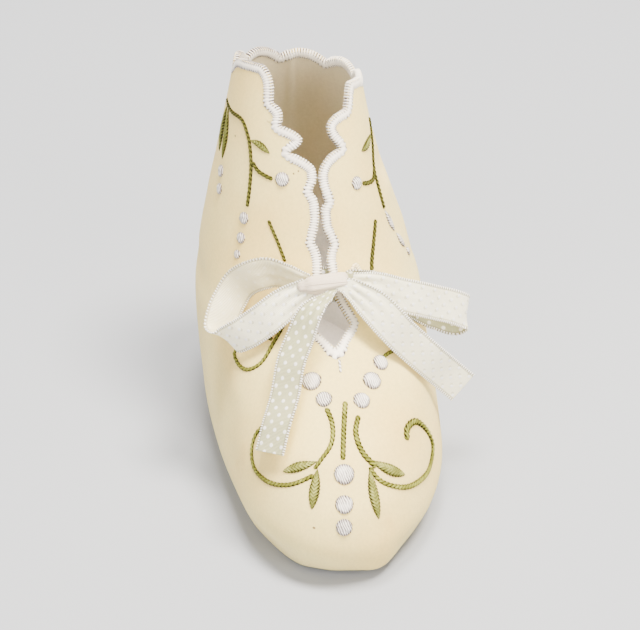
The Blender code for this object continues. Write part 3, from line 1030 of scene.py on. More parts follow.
    def steps_for(self, around: Array, travel: Array, vectors: Array) -> tuple[Array, Array]:
        """Steps of angle and travel that move a point on the wall by vectors along it.

        The two slopes are the columns of a least-squares problem with two unknowns.

        Args:
            around: Angle of each point.
            travel: Travel of each point.
            vectors: How each point is to move.

        Returns:
            The steps of angle and of travel.
        """
        by_angle, by_travel = self.slopes(around, travel)
        aa = np.sum(by_angle * by_angle, axis=-1)
        at = np.sum(by_angle * by_travel, axis=-1)
        tt = np.sum(by_travel * by_travel, axis=-1)
        va = np.sum(vectors * by_angle, axis=-1)
        vt = np.sum(vectors * by_travel, axis=-1)
        scale = aa * tt - at * at
        return (va * tt - vt * at) / scale, (vt * aa - va * at) / scale

    def beside(
        self, around: Array, travel: Array, sideways: Array, reach: Array, out: Array,
    ) -> Array:
        """Points beside a line on the wall.

        Args:
            around: Angle of each place on the line.
            travel: Travel of each place.
            sideways: The way along the wall to one side of each place.
            reach: How far each point lies that way, a row for each place.
            out: Distance of each point outwards from the middle of the wall.

        Returns:
            Points in millimetres, a row for each place.
        """
        turn_step, rise_step = self.steps_for(around, travel, sideways)
        angles = around[:, None] + turn_step[:, None] * reach
        return self.surface(angles, travel[:, None] + rise_step[:, None] * reach, out)

    def angle_across(self, across: Array, travel: Array) -> Array:
        """The angle at a distance from the middle line, on the front half.

        Args:
            across: Distance from the middle line.
            travel: Distance up the front.

        Returns:
            The angle in radians.
        """
        level = self.level_at(travel)
        share = np.clip(across / level["half_width"], 0.0, self.front_share)
        return np.arccos((1.0 - share**2) ** (1.0 / level["toe_fullness"]))

    def front(self, across: Array, travel: Array, out: Array) -> Array:
        """Points near the front by their distance from the middle line."""
        around = np.sign(across) * self.angle_across(np.abs(across), travel)
        return self.surface(around, travel, out)

    def front_frame(self, travel: float) -> tuple[Array, Array, Array]:
        """Point at the middle of the front, with the directions up it and out from it.

        Args:
            travel: Distance up the front.

        Returns:
            The point and the two directions.
        """
        around, at = np.array(0.0), np.array(travel)
        _, by_travel = self.slopes(around, at)
        return self.wall(around, at), unit(by_travel), unit(self.outward(around, at))


@dataclass
class Upper:
    """Wool cloth upper, open down the front, with worked ribbon slots."""

    last: Last
    wall: float = 1.2
    # Band of the grid along the throat edge: its width, and the width of its last column
    edging_width: float = 2.3
    edging_step: float = 0.3
    # Throat edges at their cusps: travel, half gap, height of the lobe above
    throat_right: Rows = (
        (54.0, 0.0, 0.0), (59.0, 4.2, 0.6), (68.5, 1.3, 0.9), (77.0, 1.8, 1.4), (86.4, 1.4, 3.2),
        (97.9, 5.4, 3.6), (106.2, 7.5, 0.0), (107.7, 7.9, 0.2), (112.2, 9.2, 0.0),
    )
    throat_left: Rows = (
        (54.0, 0.0, 0.0), (59.0, 4.2, 0.6), (68.5, 1.3, 0.9), (77.6, 1.8, 1.4), (88.8, 1.5, 3.6),
        (96.8, 5.5, 3.7), (102.2, 7.0, 1.2), (106.9, 8.2, 1.0), (114.9, 9.5, 0.0),
    )
    # Where the plain cloth starts beside the edging: travel, across
    root: Rows = (
        (0.0, 3.0), (45.0, 5.0), (59.0, 8.2), (70.0, 6.6),
        (90.0, 6.6), (100.0, 9.6), (108.0, 11.6), (114.9, 12.5),
    )
    least_half_gap: float = 0.35
    lobe_roundness: float = 0.8
    lobe_tip: float = 0.62
    # The grid: rows below the throat and in each lobe, columns, finer columns in each of them
    toe_rows: int = 60
    lobe_rows: int = 14
    columns: int = 22
    fine: int = 5
    band_columns: int = 2
    collar_lobe_columns: float = 6.67
    collar_lobe_shift: float = 1.8
    collar_lobe_depth: float = 3.2
    collar_lobe_fade: float = 16.0
    collar_corner_columns: float = 5.0
    # Columns are even up to one travel and follow the throat edge from the other
    even_until: float = 20.0
    band_from: float = 45.0
    slot_travel: float = 68.6
    slot_across: float = 6.6
    slot_width: float = 1.6
    slot_length: float = 5.8
    # Cloth below the lowest row: how far in, share of the row's height above the floor
    under: Rows = ((2.0, 0.0), (1.6, 0.03), (1.2, 0.14), (0.8, 0.36), (0.4, 0.66))
    under_depth: float = 3.0

    def lobe(self, u: Array, tip: float = 0.5) -> Array:
        """Height of a scallop's lobe between its cusps at 0 and 1, highest at its tip."""
        even = u ** (math.log(0.5) / math.log(tip))
        return (1.0 - (2.0 * even - 1.0) ** 2) ** self.lobe_roundness

    def edge_rows(self, table: Rows) -> Array:
        """Travel, half gap and slant of the throat edge for each row of one side's grid.

        Below the throat the gap is 0. Above it each row of the table starts a scallop: the
        straight line between its cusps less the lobe's height.

        Args:
            table: The side's cusps.

        Returns:
            One row of three numbers for each row of the grid.
        """
        cusps = np.array(table, float)
        toe = np.linspace(0.0, cusps[0, 0], self.toe_rows, endpoint=False)
        pieces = [np.stack([toe, np.zeros_like(toe), np.ones_like(toe)], axis=1)]
        final = len(cusps) - 2
        for i in range(final + 1):
            u = np.linspace(0.0, 1.0, self.lobe_rows, endpoint=i == final)
            length, widening, _ = cusps[i + 1] - cusps[i]
            line = cusps[i, 1] + widening * u
            scallop = line - cusps[i, 2] * self.lobe(u, self.lobe_tip)
            half = np.maximum(scallop, np.minimum(self.least_half_gap, line))
            slant = np.full_like(u, math.hypot(1.0, widening / length))
            pieces.append(np.stack([cusps[i, 0] + length * u, half, slant], axis=1))
        return np.concatenate(pieces)

    def collar_drop(self, side: Side, k: Array) -> Array:
        """How far the top edge lies below the collar line: the hollows between round lobes.

        Args:
            side: Which half.
            k: Columns, counted from the throat edge.

        Returns:
            The drop.
        """
        from_seam = side.value * (self.columns - k) - self.collar_lobe_shift
        u = from_seam / self.collar_lobe_columns + 0.5
        corner = ease((k - self.band_columns) / self.collar_corner_columns)
        return self.collar_lobe_depth * (1.0 - self.lobe(np.mod(u, 1.0))) * corner

    def half_grid(self, side: Side) -> tuple[Array, Array]:
        """Angle and travel of each point of one half, from the throat edge to the back seam.

        Columns follow the throat edge and its band first and run evenly to the back, and the
        top row follows the collar's scallops.

        Args:
            side: Which half.

        Returns:
            Angles and travels, rows by columns.
        """
        right, left = self.edge_rows(self.throat_right), self.edge_rows(self.throat_left)
        travel, gap, slant = (right if side is Side.RIGHT else left).T
        common = (right[:, 0] + left[:, 0]) / 2.0
        k = np.arange(self.columns + 1.0)
        fine_k = np.linspace(0.0, self.columns, self.columns * self.fine + 1)

        def rise(columns: Array) -> Array:
            """Travel at the columns, less the collar's drop near the top.

            Args:
                columns: Columns, counted from the throat edge.

            Returns:
                Travels, rows by columns.
            """
            plain = travel[:, None] + (common - travel)[:, None] * columns / self.columns
            below = self.last.collar_travel - self.collar_lobe_fade
            fade = ease((plain - below) / self.collar_lobe_fade)
            return plain - self.collar_drop(side, columns) * fade

        band = np.array([0.0, self.edging_width - self.edging_step, self.edging_width])
        first = self.band_columns + 1
        band_across = gap[:, None] + band * slant[:, None]
        edge = self.last.angle_across(band_across, rise(k)[:, :first])
        root = np.array(self.root, float)
        start = self.last.angle_across(curve_through(travel, root[:, 0], root[:, 1]), travel)[:, None]
        rest = (k[first:] - first) / (self.columns - first)
        angle = np.concatenate([edge, start + (math.pi - start) * rest], axis=1)
        even = math.pi * k / self.columns
        followed = ease((travel - self.even_until) / (self.band_from - self.even_until))
        angle = even + (angle - even) * followed[:, None]
        low = np.minimum(fine_k.astype(int), self.columns - 1)
        share = fine_k - low
        angle = angle[:, low] * (1.0 - share) + angle[:, low + 1] * share
        return side.value * angle, rise(fine_k)

    def edge_line(self) -> tuple[Array, Array]:
        """Angle and travel along the whole free edge, once round from the back seam.

        It runs along the left collar, down the left throat edge, up the right one and back
        along the right collar.

        Returns:
            Angles and travels.
        """
        foot = self.toe_rows
        parts = []
        for left, right in zip(self.half_grid(Side.LEFT), self.half_grid(Side.RIGHT)):
            down = (left[-1, :0:-1], left[:foot:-1, 0])
            up = (right[foot:, 0], right[-1, 1:-1])
            parts.append(np.concatenate([*down, *up]))
        return parts[0], parts[1]

    def turned_under(self, around: Array, lowest: Array) -> Array:
        """Rows of cloth below the grid's lowest row, rounded in to the sole's rim.

        Each row is the lowest one moved inwards on the level and let down a share of the way to
        the floor.

        Args:
            around: Angle of each column.
            lowest: Points of the lowest row.

        Returns:
            The rows, from the innermost upwards.
        """
        outward = unit(self.last.outward(around, np.zeros_like(around)) * [1.0, 1.0, 0.0])
        floor = self.last.spring(lowest[:, 1]) + self.wall / 2.0
        rows = []
        for inset, share in self.under:
            row = lowest - outward * inset
            row[:, 2] = floor + (lowest[:, 2] - floor) * share
            rows.append(row)
        return np.stack(rows)

    def in_slot(self, centres: Array, middles: Array) -> Array:
        """Whether faces lie inside the slot: an upright oval on the front half.

        Args:
            centres: Middle point of each face.
            middles: Angle and travel of each face's middle.

        Returns:
            True inside.
        """
        across = np.abs(centres[:, 0] - self.last.turn(centres[:, 1]))
        aside = (across - self.slot_across) / (self.slot_width / 2.0)
        above = (middles[:, 1] - self.slot_travel) / (self.slot_length / 2.0)
        return (aside**2 + above**2 < 1.0) & (np.abs(middles[:, 0]) < math.pi / 2.0)

    def half(self, side: Side) -> Patch:
        """One half of the cloth, from the sole's rim to the collar, with its slot left open.

        Args:
            side: Which half.

        Returns:
            The surface in the middle of the wall, facing outwards.
        """
        around, travel = self.half_grid(side)
        points = self.last.surface(around, travel)
        points = np.concatenate([self.turned_under(around[0], points[0]), points])
        below = np.array([share - 1.0 for _, share in self.under]) * self.under_depth
        below = np.broadcast_to(below[:, None], (len(below), travel.shape[1]))
        travel = np.concatenate([below, travel])
        around = np.concatenate([np.repeat(around[:1], len(below), axis=0), around])
        patch = Patch.from_grid(points, around * self.last.crease_radius, travel)
        centres = patch.points[patch.faces].mean(axis=1)
        middles = np.stack([around, travel], axis=-1).reshape(-1, 2)[patch.faces].mean(axis=1)
        patch = patch.keep_faces(~self.in_slot(centres, middles))
        return patch.flipped() if side is Side.LEFT else patch

    def make(self, cloth: Material, lining: Material) -> Piece:
        """The cloth: both halves of the wall welded at toe and back.

        Args:
            cloth: Finish of the outside.
            lining: Finish of the inside.

        Returns:
            The cloth with its thickness.
        """
        piece = Patch.joined([self.half(side) for side in Side]).to_object("upper_cloth", cloth)
        thicken(piece, self.wall, lining)
        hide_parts("upper")
        return piece


@dataclass
class Edging:
    """Raised silk edging along the throat and the collar, one rib for each stitch."""

    upper: Upper
    width: float = 1.84
    # Cross section: distance in from the edge, distance out from the middle of the wall
    profile: Rows = (
        (1.86, 0.40), (1.84, 0.58), (1.74, 0.74), (1.58, 0.70), (1.34, 0.78), (0.94, 0.84),
        (0.54, 0.78), (0.34, 0.70), (0.18, 0.74), (0.02, 0.58), (-0.08, 0.30), (-0.08, -0.30),
        (0.02, -0.64), (0.46, -0.76), (0.94, -0.82), (1.44, -0.76), (1.84, -0.64), (1.86, -0.40),
        (1.6, 0.0),
    )
    # Distances in from the edge past which a point belongs to the outer or the inner rim
    outer_rim: float = 0.1
    inner_rim: float = 1.7
    # Texture places reach this far across the band, where the stitches end at 1
    silk_reach: float = 0.9
    step: float = 0.09
    stitch_pitch: float = 0.64
    # A stitch stands highest this share of its pitch from its start
    crest: float = 0.25
    # Ribs: depth at the rims, share of it at the middle, how uneven the stitches stand
    rib_depth: float = 0.2
    rib_middle: float = 0.12
    uneven_rise: float = 0.03
    # Beads at the rims: how far each stitch stands out, how uneven they are
    bead: float = 0.2
    uneven_bead: float = 0.06
    # Lengths over which the stitches fan out at a cusp and the edge's corners are rounded
    fan: float = 1.0
    corner: float = 0.2
    # The band runs to a point below the throat: how much wider, and over which length
    point: float = 0.55
    point_spread: float = 1.1

    def even_line(self) -> tuple[Array, Array, Array]:
        """The free edge in even steps, with its corners slightly rounded.

        The angle grows by one turn along the edge. That growth is taken off before the corners
        are rounded, so that the line closes.

        Returns:
            Length along the edge, angle and travel of each place.
        """
        around, travel = self.upper.edge_line()
        rough = self.upper.last.wall(around, travel)
        length = run_length(np.concatenate([rough, rough[:1]]))
        around = np.append(around, around[0] + TURN)
        travel = np.append(travel, travel[0])
        count = int(length[-1] / self.step)
        s = np.linspace(0.0, length[-1], count, endpoint=False)
        line = np.stack([np.interp(s, length, around), np.interp(s, length, travel)], axis=1)
        growth = np.linspace(0.0, TURN, count, endpoint=False)
        line[:, 0] -= growth
        line = blur(line, self.corner / self.step, closed=True)
        line[:, 0] += growth
        return s, wrapped(line[:, 0]), line[:, 1]

    def make(self, silk: Material) -> Piece:
        """The edging: the cross section carried along the free edge, ribbed at each stitch.

        At each place the section stands on the inward direction along the wall and on the
        wall's normal. Ribs scale the section by a rounded wave along the edge.

        Args:
            silk: Its finish.

        Returns:
            The edging.
        """
        last = self.upper.last
        s, around, travel = self.even_line()
        normal = unit(last.outward(around, travel))
        points = last.wall(around, travel)
        along = unit(np.roll(points, -1, axis=0) - np.roll(points, 1, axis=0))
        inward = unit(blur(np.cross(along, normal), self.fan / self.step, closed=True))
        inset, out = np.array(self.profile, float).T
        stitches = s / self.stitch_pitch
        crest = np.sqrt(0.5 + 0.5 * np.sin(TURN * stitches))
        draw_count = int((s[1] * len(s)) / self.stitch_pitch) + 2
        draws = np.random.default_rng(SEED).uniform(-1.0, 1.0, draw_count)
        uneven = draws[(stitches + self.crest).astype(int)]
        share = (2.0 * inset / self.width - 1.0) * self.silk_reach
        cut = self.rib_middle + (1.0 - self.rib_middle) * share**2
        rib = 1.0 - self.rib_depth * (1.0 - crest[:, None]) * cut + self.uneven_rise * uneven[:, None]
        rim = np.where(inset > self.inner_rim, 1.0, np.where(inset < self.outer_rim, -1.0, 0.0))
        foot = s[np.argmin(travel)]
        pointed = 1.0 + self.point * bell((s - foot) / self.point_spread)
        beads = self.bead * (crest - 0.5) + self.uneven_bead * uneven
        depth_in = inset * pointed[:, None] + rim * beads[:, None]
        grid = last.beside(around, travel, inward, depth_in, out * rib)
        patch = Patch.from_grid(grid, stitches[:, None], share, loop_rows=True, loop_columns=True)
        return patch.flipped().to_object("scallop_edging", silk)


@dataclass
class SlotStitching:
    """Buttonhole stitches round the slot on each side of the throat."""

    upper: Upper
    half_width: float = 0.95
    half_length: float = 2.9
    reach: float = 0.5
    rise: float = 0.3
    rib_depth: float = 0.15
    stitch_pitch: float = 0.5
    columns: int = 160
    section_points: int = 10

    def ring(self, side: Side) -> Patch:
        """A flat oval section carried round the slot on the cloth, ribbed at each stitch.

        Args:
            side: Which slot.

        Returns:
            The ring, facing outwards.
        """
        turn = np.linspace(0.0, TURN, self.columns, endpoint=False)[:, None]
        section = np.linspace(0.0, TURN, self.section_points, endpoint=False)
        right, up = self.half_width * np.cos(turn), self.half_length * np.sin(turn)
        beside = np.stack([np.cos(turn) / self.half_width, np.sin(turn) / self.half_length])
        beside = beside / np.hypot(*beside)
        lateral = self.reach * np.cos(section)
        across = self.upper.slot_across + right + lateral * beside[0]
        travel = self.upper.slot_travel + up + lateral * beside[1]
        stitches = run_length(np.concatenate([right, up], axis=1))[:, None] / self.stitch_pitch
        rib = 1.0 - self.rib_depth + self.rib_depth * np.sin(TURN * stitches)
        out = self.upper.wall / 2.0 + self.rise * np.sin(section) * rib
        grid = self.upper.last.front(side.value * across, travel, out)
        patch = Patch.from_grid(grid, stitches, np.cos(section), loop_rows=True, loop_columns=True)
        return patch if side is Side.LEFT else patch.flipped()

    def make(self, silk: Material) -> Piece:
        """Both rings as one piece."""
        return Patch.joined([self.ring(side) for side in Side]).to_object("slot_stitching", silk)


@dataclass
class Sole:
    """Soft cloth sole and the lining insole above it."""

    last: Last
    columns: int = 180
    grow: float = -1.8
    arch_height: float = 0.5
    arch_centre_y: float = 4.0
    arch_half_length: float = 14.0
    # Profile from the middle of the underside round the edge to the middle of the top: share
    # of the half width, height, share of the waist's hollow
    sole_profile: Rows = (
        (0.0, 0.0, 1.0), (0.3, 0.0, 1.0), (0.55, 0.0, 1.0), (0.74, 0.0, 1.0), (0.86, 0.02, 1.0),
        (0.92, 0.12, 1.0), (0.955, 0.32, 1.0), (0.98, 0.62, 1.0), (0.995, 1.0, 0.8),
        (1.0, 1.4, 0.5), (0.998, 1.75, 0.2), (0.99, 2.0, 0.0), (0.975, 2.1, 0.0),
        (0.968, 2.3, 0.0), (0.968, 2.8, 0.0), (0.955, 2.92, 0.0), (0.935, 2.79, 0.0),
        (0.93, 2.4, 0.0), (0.9, 2.3, 0.0), (0.6, 2.3, 0.0), (0.3, 2.3, 0.0), (0.0, 2.3, 0.0),
    )
    insole_grow: float = -0.75
    insole_profile: Rows = (
        (0.0, 2.6, 0.0), (0.5, 2.6, 0.0), (0.93, 2.6, 0.0), (0.985, 2.75, 0.0), (1.0, 3.1, 0.0),
        (0.985, 3.42, 0.0), (0.95, 3.58, 0.0), (0.9, 3.66, 0.0), (0.8, 3.7, 0.0),
        (0.6, 3.7, 0.0), (0.4, 3.7, 0.0), (0.2, 3.7, 0.0), (0.0, 3.7, 0.0),
    )

    def plate(self, name: str, grow: float, profile: Rows, finish: Material) -> Piece:
        """Plate on the upper's lowest section: its outline scaled across by the profile's share.

        Args:
            name: The piece's name.
            grow: How far the outline is moved outwards.
            profile: Rows of share, height and hollow from the underside to the top.
            finish: Its material.

        Returns:
            The plate, closed along its middle line.
        """
        around = np.linspace(-math.pi, math.pi, self.columns, endpoint=False)
        level = self.last.level_at(np.zeros_like(around))
        across, y = self.last.section(np.abs(around), level, grow)
        across = across * np.where(around < 0.0, -1.0, 1.0)
        share, height, hollow = np.array(profile, float).T[:, :, None]
        reach = np.clip((y - self.arch_centre_y) / self.arch_half_length, -1.0, 1.0)
        arch = self.arch_height * np.cos(reach * math.pi / 2.0) ** 2
        z = height + self.last.spring(y) + hollow * arch
        x = share * across + self.last.turn(y)
        points = np.stack([x, np.broadcast_to(y, x.shape), z], axis=-1)
        patch = Patch.from_grid(points, x, y, loop_columns=True)
        return patch.to_object(name, finish)

    def make(self, sole_cloth: Material, lining: Material) -> list[Piece]:
        """The sole and the insole.

        Args:
            sole_cloth: Finish of the sole.
            lining: Finish of the insole.

        Returns:
            Both pieces.
        """
        sole = self.plate("sole_cloth_pad", self.grow, self.sole_profile, sole_cloth)
        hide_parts("sole")
        insole = self.plate("insole_lining", self.insole_grow, self.insole_profile, lining)
        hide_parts("insole")
        return [sole, insole]


@dataclass(frozen=True)
class Limb:
    """A loop or a tail of the bow: its node, its route and the direction of the ribbon's width.

    The route's rows are across, up the front and out from the knot's middle in metres, and the
    share of the width.
    """

    node: str
    route: Rows
    axle: Row


@dataclass
class Bow:
    """The ribbon: behind the throat, out through both slots and tied in a bow."""

    last: Last
    width: float = 7.5
    thickness: float = 0.3
    picot_pitch: float = 0.55
    picot_length: float = 0.26
    rows_per_picot: int = 4
    # Places across in half widths: the outermost plain column, the root of the picots
    plain_edge: float = 0.93
    picot_root: float = 0.965
    plain_columns: int = 17
    slot_travel: float = 68.6
    # Crossing from the front end to the middle behind: across, out, width
    crossing: Rows = (
        (1.8, 1.65, 3.2), (3.8, 1.65, 3.6), (5.6, 1.55, 4.2), (6.45, 0.9, 4.7), (6.6, 0.0, 5.0),
        (6.45, -0.9, 5.4), (5.6, -1.5, 6.4), (3.6, -1.65, 7.4), (1.6, -1.65, 7.5),
    )
    knot_travel: float = 68.4
    knot_out: float = 4.9
    # Pleats where the knot gathers the ribbon: depth, where they are full, reach, ridges across
    pleat_depth: float = 0.6
    pleat_start: float = 3.0
    pleat_reach: float = 4.5
    pleats: float = 3.0
    # How much narrower the ribbon is drawn inside the knot
    pinch: float = 0.5
    # Soft waves along the ribbon: depth, length
    wave_depth: float = 0.3
    wave_length: float = 13.0
    # Picots between the points of a cord's path
    path_step: int = 4
    loop_left: Limb = Limb("bow_loop_left", (
        (-0.0046, -0.0003, 0.0004, 0.60), (-0.0102, -0.0034, -0.0014, 0.96),
        (-0.0152, -0.0066, -0.0035, 1.0), (-0.0195, -0.0088, -0.0066, 1.0),
        (-0.0222, -0.0089, -0.0104, 1.0), (-0.0229, -0.0067, -0.0122, 1.0),
        (-0.0219, -0.0032, -0.0123, 1.0), (-0.0202, -0.0002, -0.0114, 1.0),
        (-0.0184, 0.0022, -0.0098, 1.0), (-0.0159, 0.0036, -0.0072, 1.0),
        (-0.0122, 0.0039, -0.0047, 0.98), (-0.0083, 0.0023, -0.0028, 0.85),
        (-0.0044, 0.0006, -0.0011, 0.60),
    ), (-0.74, 0.46, 0.49))
    loop_right: Limb = Limb("bow_loop_right", (
        (0.00475, -0.0003, 0.0003, 0.60), (0.0093, -0.0019, -0.0002, 0.94),
        (0.0162, -0.0041, -0.0023, 1.0), (0.0235, -0.0061, -0.0056, 1.0),
        (0.0286, -0.0076, -0.0088, 1.0), (0.0308, -0.0088, -0.0118, 1.0),
        (0.0294, -0.0095, -0.0138, 1.0), (0.0246, -0.0079, -0.0124, 1.0),
        (0.0193, -0.0052, -0.0090, 1.0), (0.0129, -0.0024, -0.0054, 0.96),
        (0.0080, -0.0006, -0.0030, 0.80), (0.0044, 0.0004, -0.0013, 0.60),
    ), (0.16, 0.52, 0.83))
    tail_left: Limb = Limb("bow_tail_left", (
        (-0.0015, -0.0030, 0.0025, 0.50), (-0.0042, -0.0050, 0.0034, 0.80),
        (-0.0080, -0.0108, 0.0026, 1.0), (-0.0117, -0.0199, 0.0029, 1.0),
        (-0.0147, -0.0280, 0.0044, 1.0), (-0.0176, -0.0347, 0.0048, 1.0),
    ), (0.66, -0.74, 0.15))
    tail_right: Limb = Limb("bow_tail_right", (
        (0.0036, -0.0012, 0.0019, 0.55), (0.0080, -0.0050, 0.0018, 0.92),
        (0.0145, -0.0127, 0.0, 1.0), (0.0212, -0.0190, -0.0043, 1.0),
        (0.0280, -0.0248, -0.0096, 1.0),
    ), (0.76, 0.28, 0.58))
    # Knot's radius along its length: across, radius
    knot_profile: Rows = (
        (-7.2, 0.05), (-7.05, 0.7), (-6.5, 1.15), (-5.9, 1.2), (-5.4, 1.35), (-4.8, 1.8),
        (-4.0, 2.05), (-2.4, 2.14), (0.0, 2.16), (2.2, 2.18), (3.3, 2.12), (3.95, 1.75),
        (4.25, 1.1), (4.35, 0.05),
    )
    # Folds of the knot: angle round it from the outward side, depth, half width in degrees
    knot_folds: Rows = (
        (-38.0, -0.16, 7.0), (-24.0, 0.10, 12.0), (48.0, -0.10, 8.0), (62.0, 0.08, 12.0),
        (120.0, -0.1, 12.0), (-120.0, -0.1, 12.0),
    )
    # Degrees that the folds turn for a millimetre along the knot
    fold_slant: float = 3.0
    # Rows along the knot, columns round it, rows over which its profile is smoothed, and the
    # millimetres of ribbon for a radian round it
    knot_rows: int = 96
    knot_columns: int = 72
    knot_blur: float = 1.2
    knot_girth: float = 2.4

    def frame(self) -> tuple[Array, Array, Array, Array]:
        """The knot's middle and the directions across, up the front and out."""
        place, up, out = self.last.front_frame(self.knot_travel)
        return place + out * self.knot_out, np.cross(up, out), up, out

    def to_world(self, route: Rows) -> tuple[Array, Array]:
        """A route in the shoe's own frame.

        Args:
            route: The limb's rows.

        Returns:
            Points in millimetres, and the shares of the width.
        """
        centre, across, up, out = self.frame()
        steps = np.array(route, float)
        points = centre + (steps[:, :3] / MM) @ np.stack([across, up, out])
        return points, steps[:, 3]

    def columns(self) -> Array:
        """Places across the ribbon, from edge to edge, with the picots outermost."""
        inner = np.linspace(-self.plain_edge, self.plain_edge, self.plain_columns)
        return np.concatenate([[-1.0, -self.picot_root], inner, [self.picot_root, 1.0]])

    def edges(self, s: Array) -> Array:
        """Place of each column across, in half widths: picots move the outermost in and out.

        Args:
            s: Length along the ribbon of each row.

        Returns:
            Places, rows by columns.
        """
        across = self.columns()
        picot = self.picot_length / (self.width / 2.0)
        tooth = picot * np.sin(math.pi * s / self.picot_pitch) ** 2
        outermost = np.abs(across) > self.picot_root
        return np.where(outermost, np.sign(across) * (self.picot_root + tooth[:, None]), across)

    def rows_along(self, length: float) -> Array:
        """Lengths along a ribbon of the rows of its grid, a fixed number for each picot."""
        count = int(length / self.picot_pitch) * self.rows_per_picot
        return np.linspace(0.0, length, count + 1)

    def strip(self, name: str, grid: Array, s: Array, sides: Sides) -> Piece:
        """Ribbon from a grid of points, with its woven thickness.

        Args:
            name: The piece's name.
            grid: Rows along the ribbon by columns across it.
            s: Length along the ribbon of each row.
            sides: Materials of the side that the grid faces and of the other one.

        Returns:
            The ribbon.
        """
        across = self.columns() * self.width / 2.0
        piece = Patch.from_grid(grid, s[:, None], across).to_object(name, sides[0])
        thicken(piece, self.thickness, sides[1])
        return piece

    def length_ribbon(self, name: str, loop: Limb, tail: Limb, sides: Sides) -> tuple[Piece, Array]:
        """One end of the ribbon: out and back in a loop, through the knot and down a tail.

        The middle line is a cubic curve through the route. The width lies along the axle with
        its part along the ribbon taken away, and turns from the loop's axle to the tail's
        inside the knot, where the ribbon is narrower. Pleats across the ribbon fade away from
        the knot, and soft waves run along the rest.

        Args:
            name: The piece's name.
            loop: The loop.
            tail: The tail that follows it.
            sides: Materials of the ribbon's two sides.

        Returns:
            The ribbon and the points of its middle line in millimetres.
        """
        ends = [self.to_world(limb.route) for limb in (loop, tail)]
        points, share = (np.concatenate(parts) for parts in zip(*ends))
        length = run_length(points)
        s = self.rows_along(length[-1])
        line = curve_through(s, length, points)
        half = curve_through(s, length, share) * self.width / 2.0
        into, out = length[len(loop.route) - 1], length[len(loop.route)]
        tied = (s - into) / (out - into)
        half = half * (1.0 - self.pinch * np.sin(math.pi * np.clip(tied, 0.0, 1.0)))
        run = unit(np.gradient(line, axis=0))
        sign = 1.0 if np.dot(loop.axle, tail.axle) >= 0.0 else -1.0
        change = ease(tied)[:, None]
        axle = np.array(loop.axle) * (1.0 - change) + sign * np.array(tail.axle) * change
        wide = unit(axle - run * np.sum(run * axle, axis=1, keepdims=True))
        clear = np.minimum(s, np.maximum(np.maximum(into - s, s - out), 0.0))
        gathered = (ease(clear / self.pleat_start) * np.exp(-clear / self.pleat_reach))[:, None]
        pleat = self.pleat_depth * gathered * np.cos(self.pleats * math.pi * self.columns())
        free = ease(clear / self.wave_length)[:, None]
        wave = self.wave_depth * free * np.sin(TURN * s / self.wave_length)[:, None]
        grid = line[:, None] + wide[:, None] * (self.edges(s) * half[:, None])[..., None]
        grid = grid + np.cross(run, wide)[:, None] * (pleat + wave)[..., None]
        return self.strip(name, grid, s, sides), line

    def make_crossing(self, sides: Sides) -> Piece:
        """Ribbon behind the throat: rows run out of one slot, behind and out of the other.

        Args:
            sides: Materials of the ribbon's two sides.

        Returns:
            The crossing.
        """
        mirrored = [(-across, out, width) for across, out, width in self.crossing]
        table = np.array(mirrored + list(reversed(self.crossing)), float)
        length = run_length(table[:, :2])
        s = self.rows_along(length[-1])
        across, out, width = curve_through(s, length, table).T
        travel = self.slot_travel + self.edges(s) * width[:, None] / 2.0
        grid = self.last.front(across[:, None], travel, out[:, None])
        piece = self.strip("ribbon_behind_throat", grid, s, sides)
        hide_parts("ribbon_crossing")
        return piece

    def make_knot(self, finish: Material) -> Piece:
        """The knot: a round bundle along the crossing direction with soft folds along it.

        Its radius follows a profile along the knot and closes to a point at both ends. Each
        fold is a bell round it that slants along it.

        Args:
            finish: Its material.

        Returns:
            The knot.
        """
        centre, across, up, out = self.frame()
        profile = np.array(self.knot_profile, float)
        x = np.linspace(profile[0, 0], profile[-1, 0], self.knot_rows)[:, None]
        angle = np.linspace(0.0, TURN, self.knot_columns, endpoint=False)
        radius = blur(np.interp(x, profile[:, 0], profile[:, 1]), self.knot_blur)
        radius[[0, -1]] = 0.0
        fold = np.zeros((len(x), len(angle)))
        for place, depth, spread in self.knot_folds:
            away = np.radians(np.degrees(angle) - place - self.fold_slant * x)
            fold += depth * bell(np.degrees(wrapped(away)) / spread)
        folded = radius * (1.0 + fold)
        rise, reach = np.sin(angle) * folded, np.cos(angle) * folded
        points = centre + x[..., None] * across + rise[..., None] * up + reach[..., None] * out
        patch = Patch.from_grid(points, angle * self.knot_girth, x, loop_columns=True)
        piece = patch.flipped().to_object("bow_knot_wrap", finish)
        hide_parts("bow_knot")
        return piece

    def make(
        self, face: Material, shaded_side: Material, plain: Material, knot_finish: Material,
    ) -> list[Piece]:
        """The crossing, the knot and both ends of the ribbon.

        Args:
            face: The satin side, with its dots.
            shaded_side: The ribbon's other side, with clear dots, painted darker and greener as
                shade.
            plain: The inside of the left loop, where the dots hardly show.
            knot_finish: The ribbon drawn tight round the knot.

        Returns:
            The pieces.
        """
        made = [self.make_crossing((face, shaded_side)), self.make_knot(knot_finish)]
        knot = made[1]
        for name, loop, tail, pieces, sides in (
            ("bow_ribbon_left_loop", self.loop_left, self.tail_right, [knot], (face, plain)),
            ("bow_ribbon_right_loop", self.loop_right, self.tail_left, [], (shaded_side, face)),
        ):
            ribbon, line = self.length_ribbon(name, loop, tail, sides)
            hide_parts(loop.node, tail.node)
            made.append(ribbon)
        return made


class Stitch(Enum):
    """Ways a stitched motif is worked."""

    STEM = "stem"
    LEAF = "leaf"
    DOT = "dot"


@dataclass(frozen=True)
class Work:
    """Sizes of one way of stitching."""

    # Length of a stitch, and how far it slants
    pitch: float
    slant: float
    # Height for a half width of one, and the power of the outline that it follows
    rise: float
    rise_power: float
    rib_depth: float


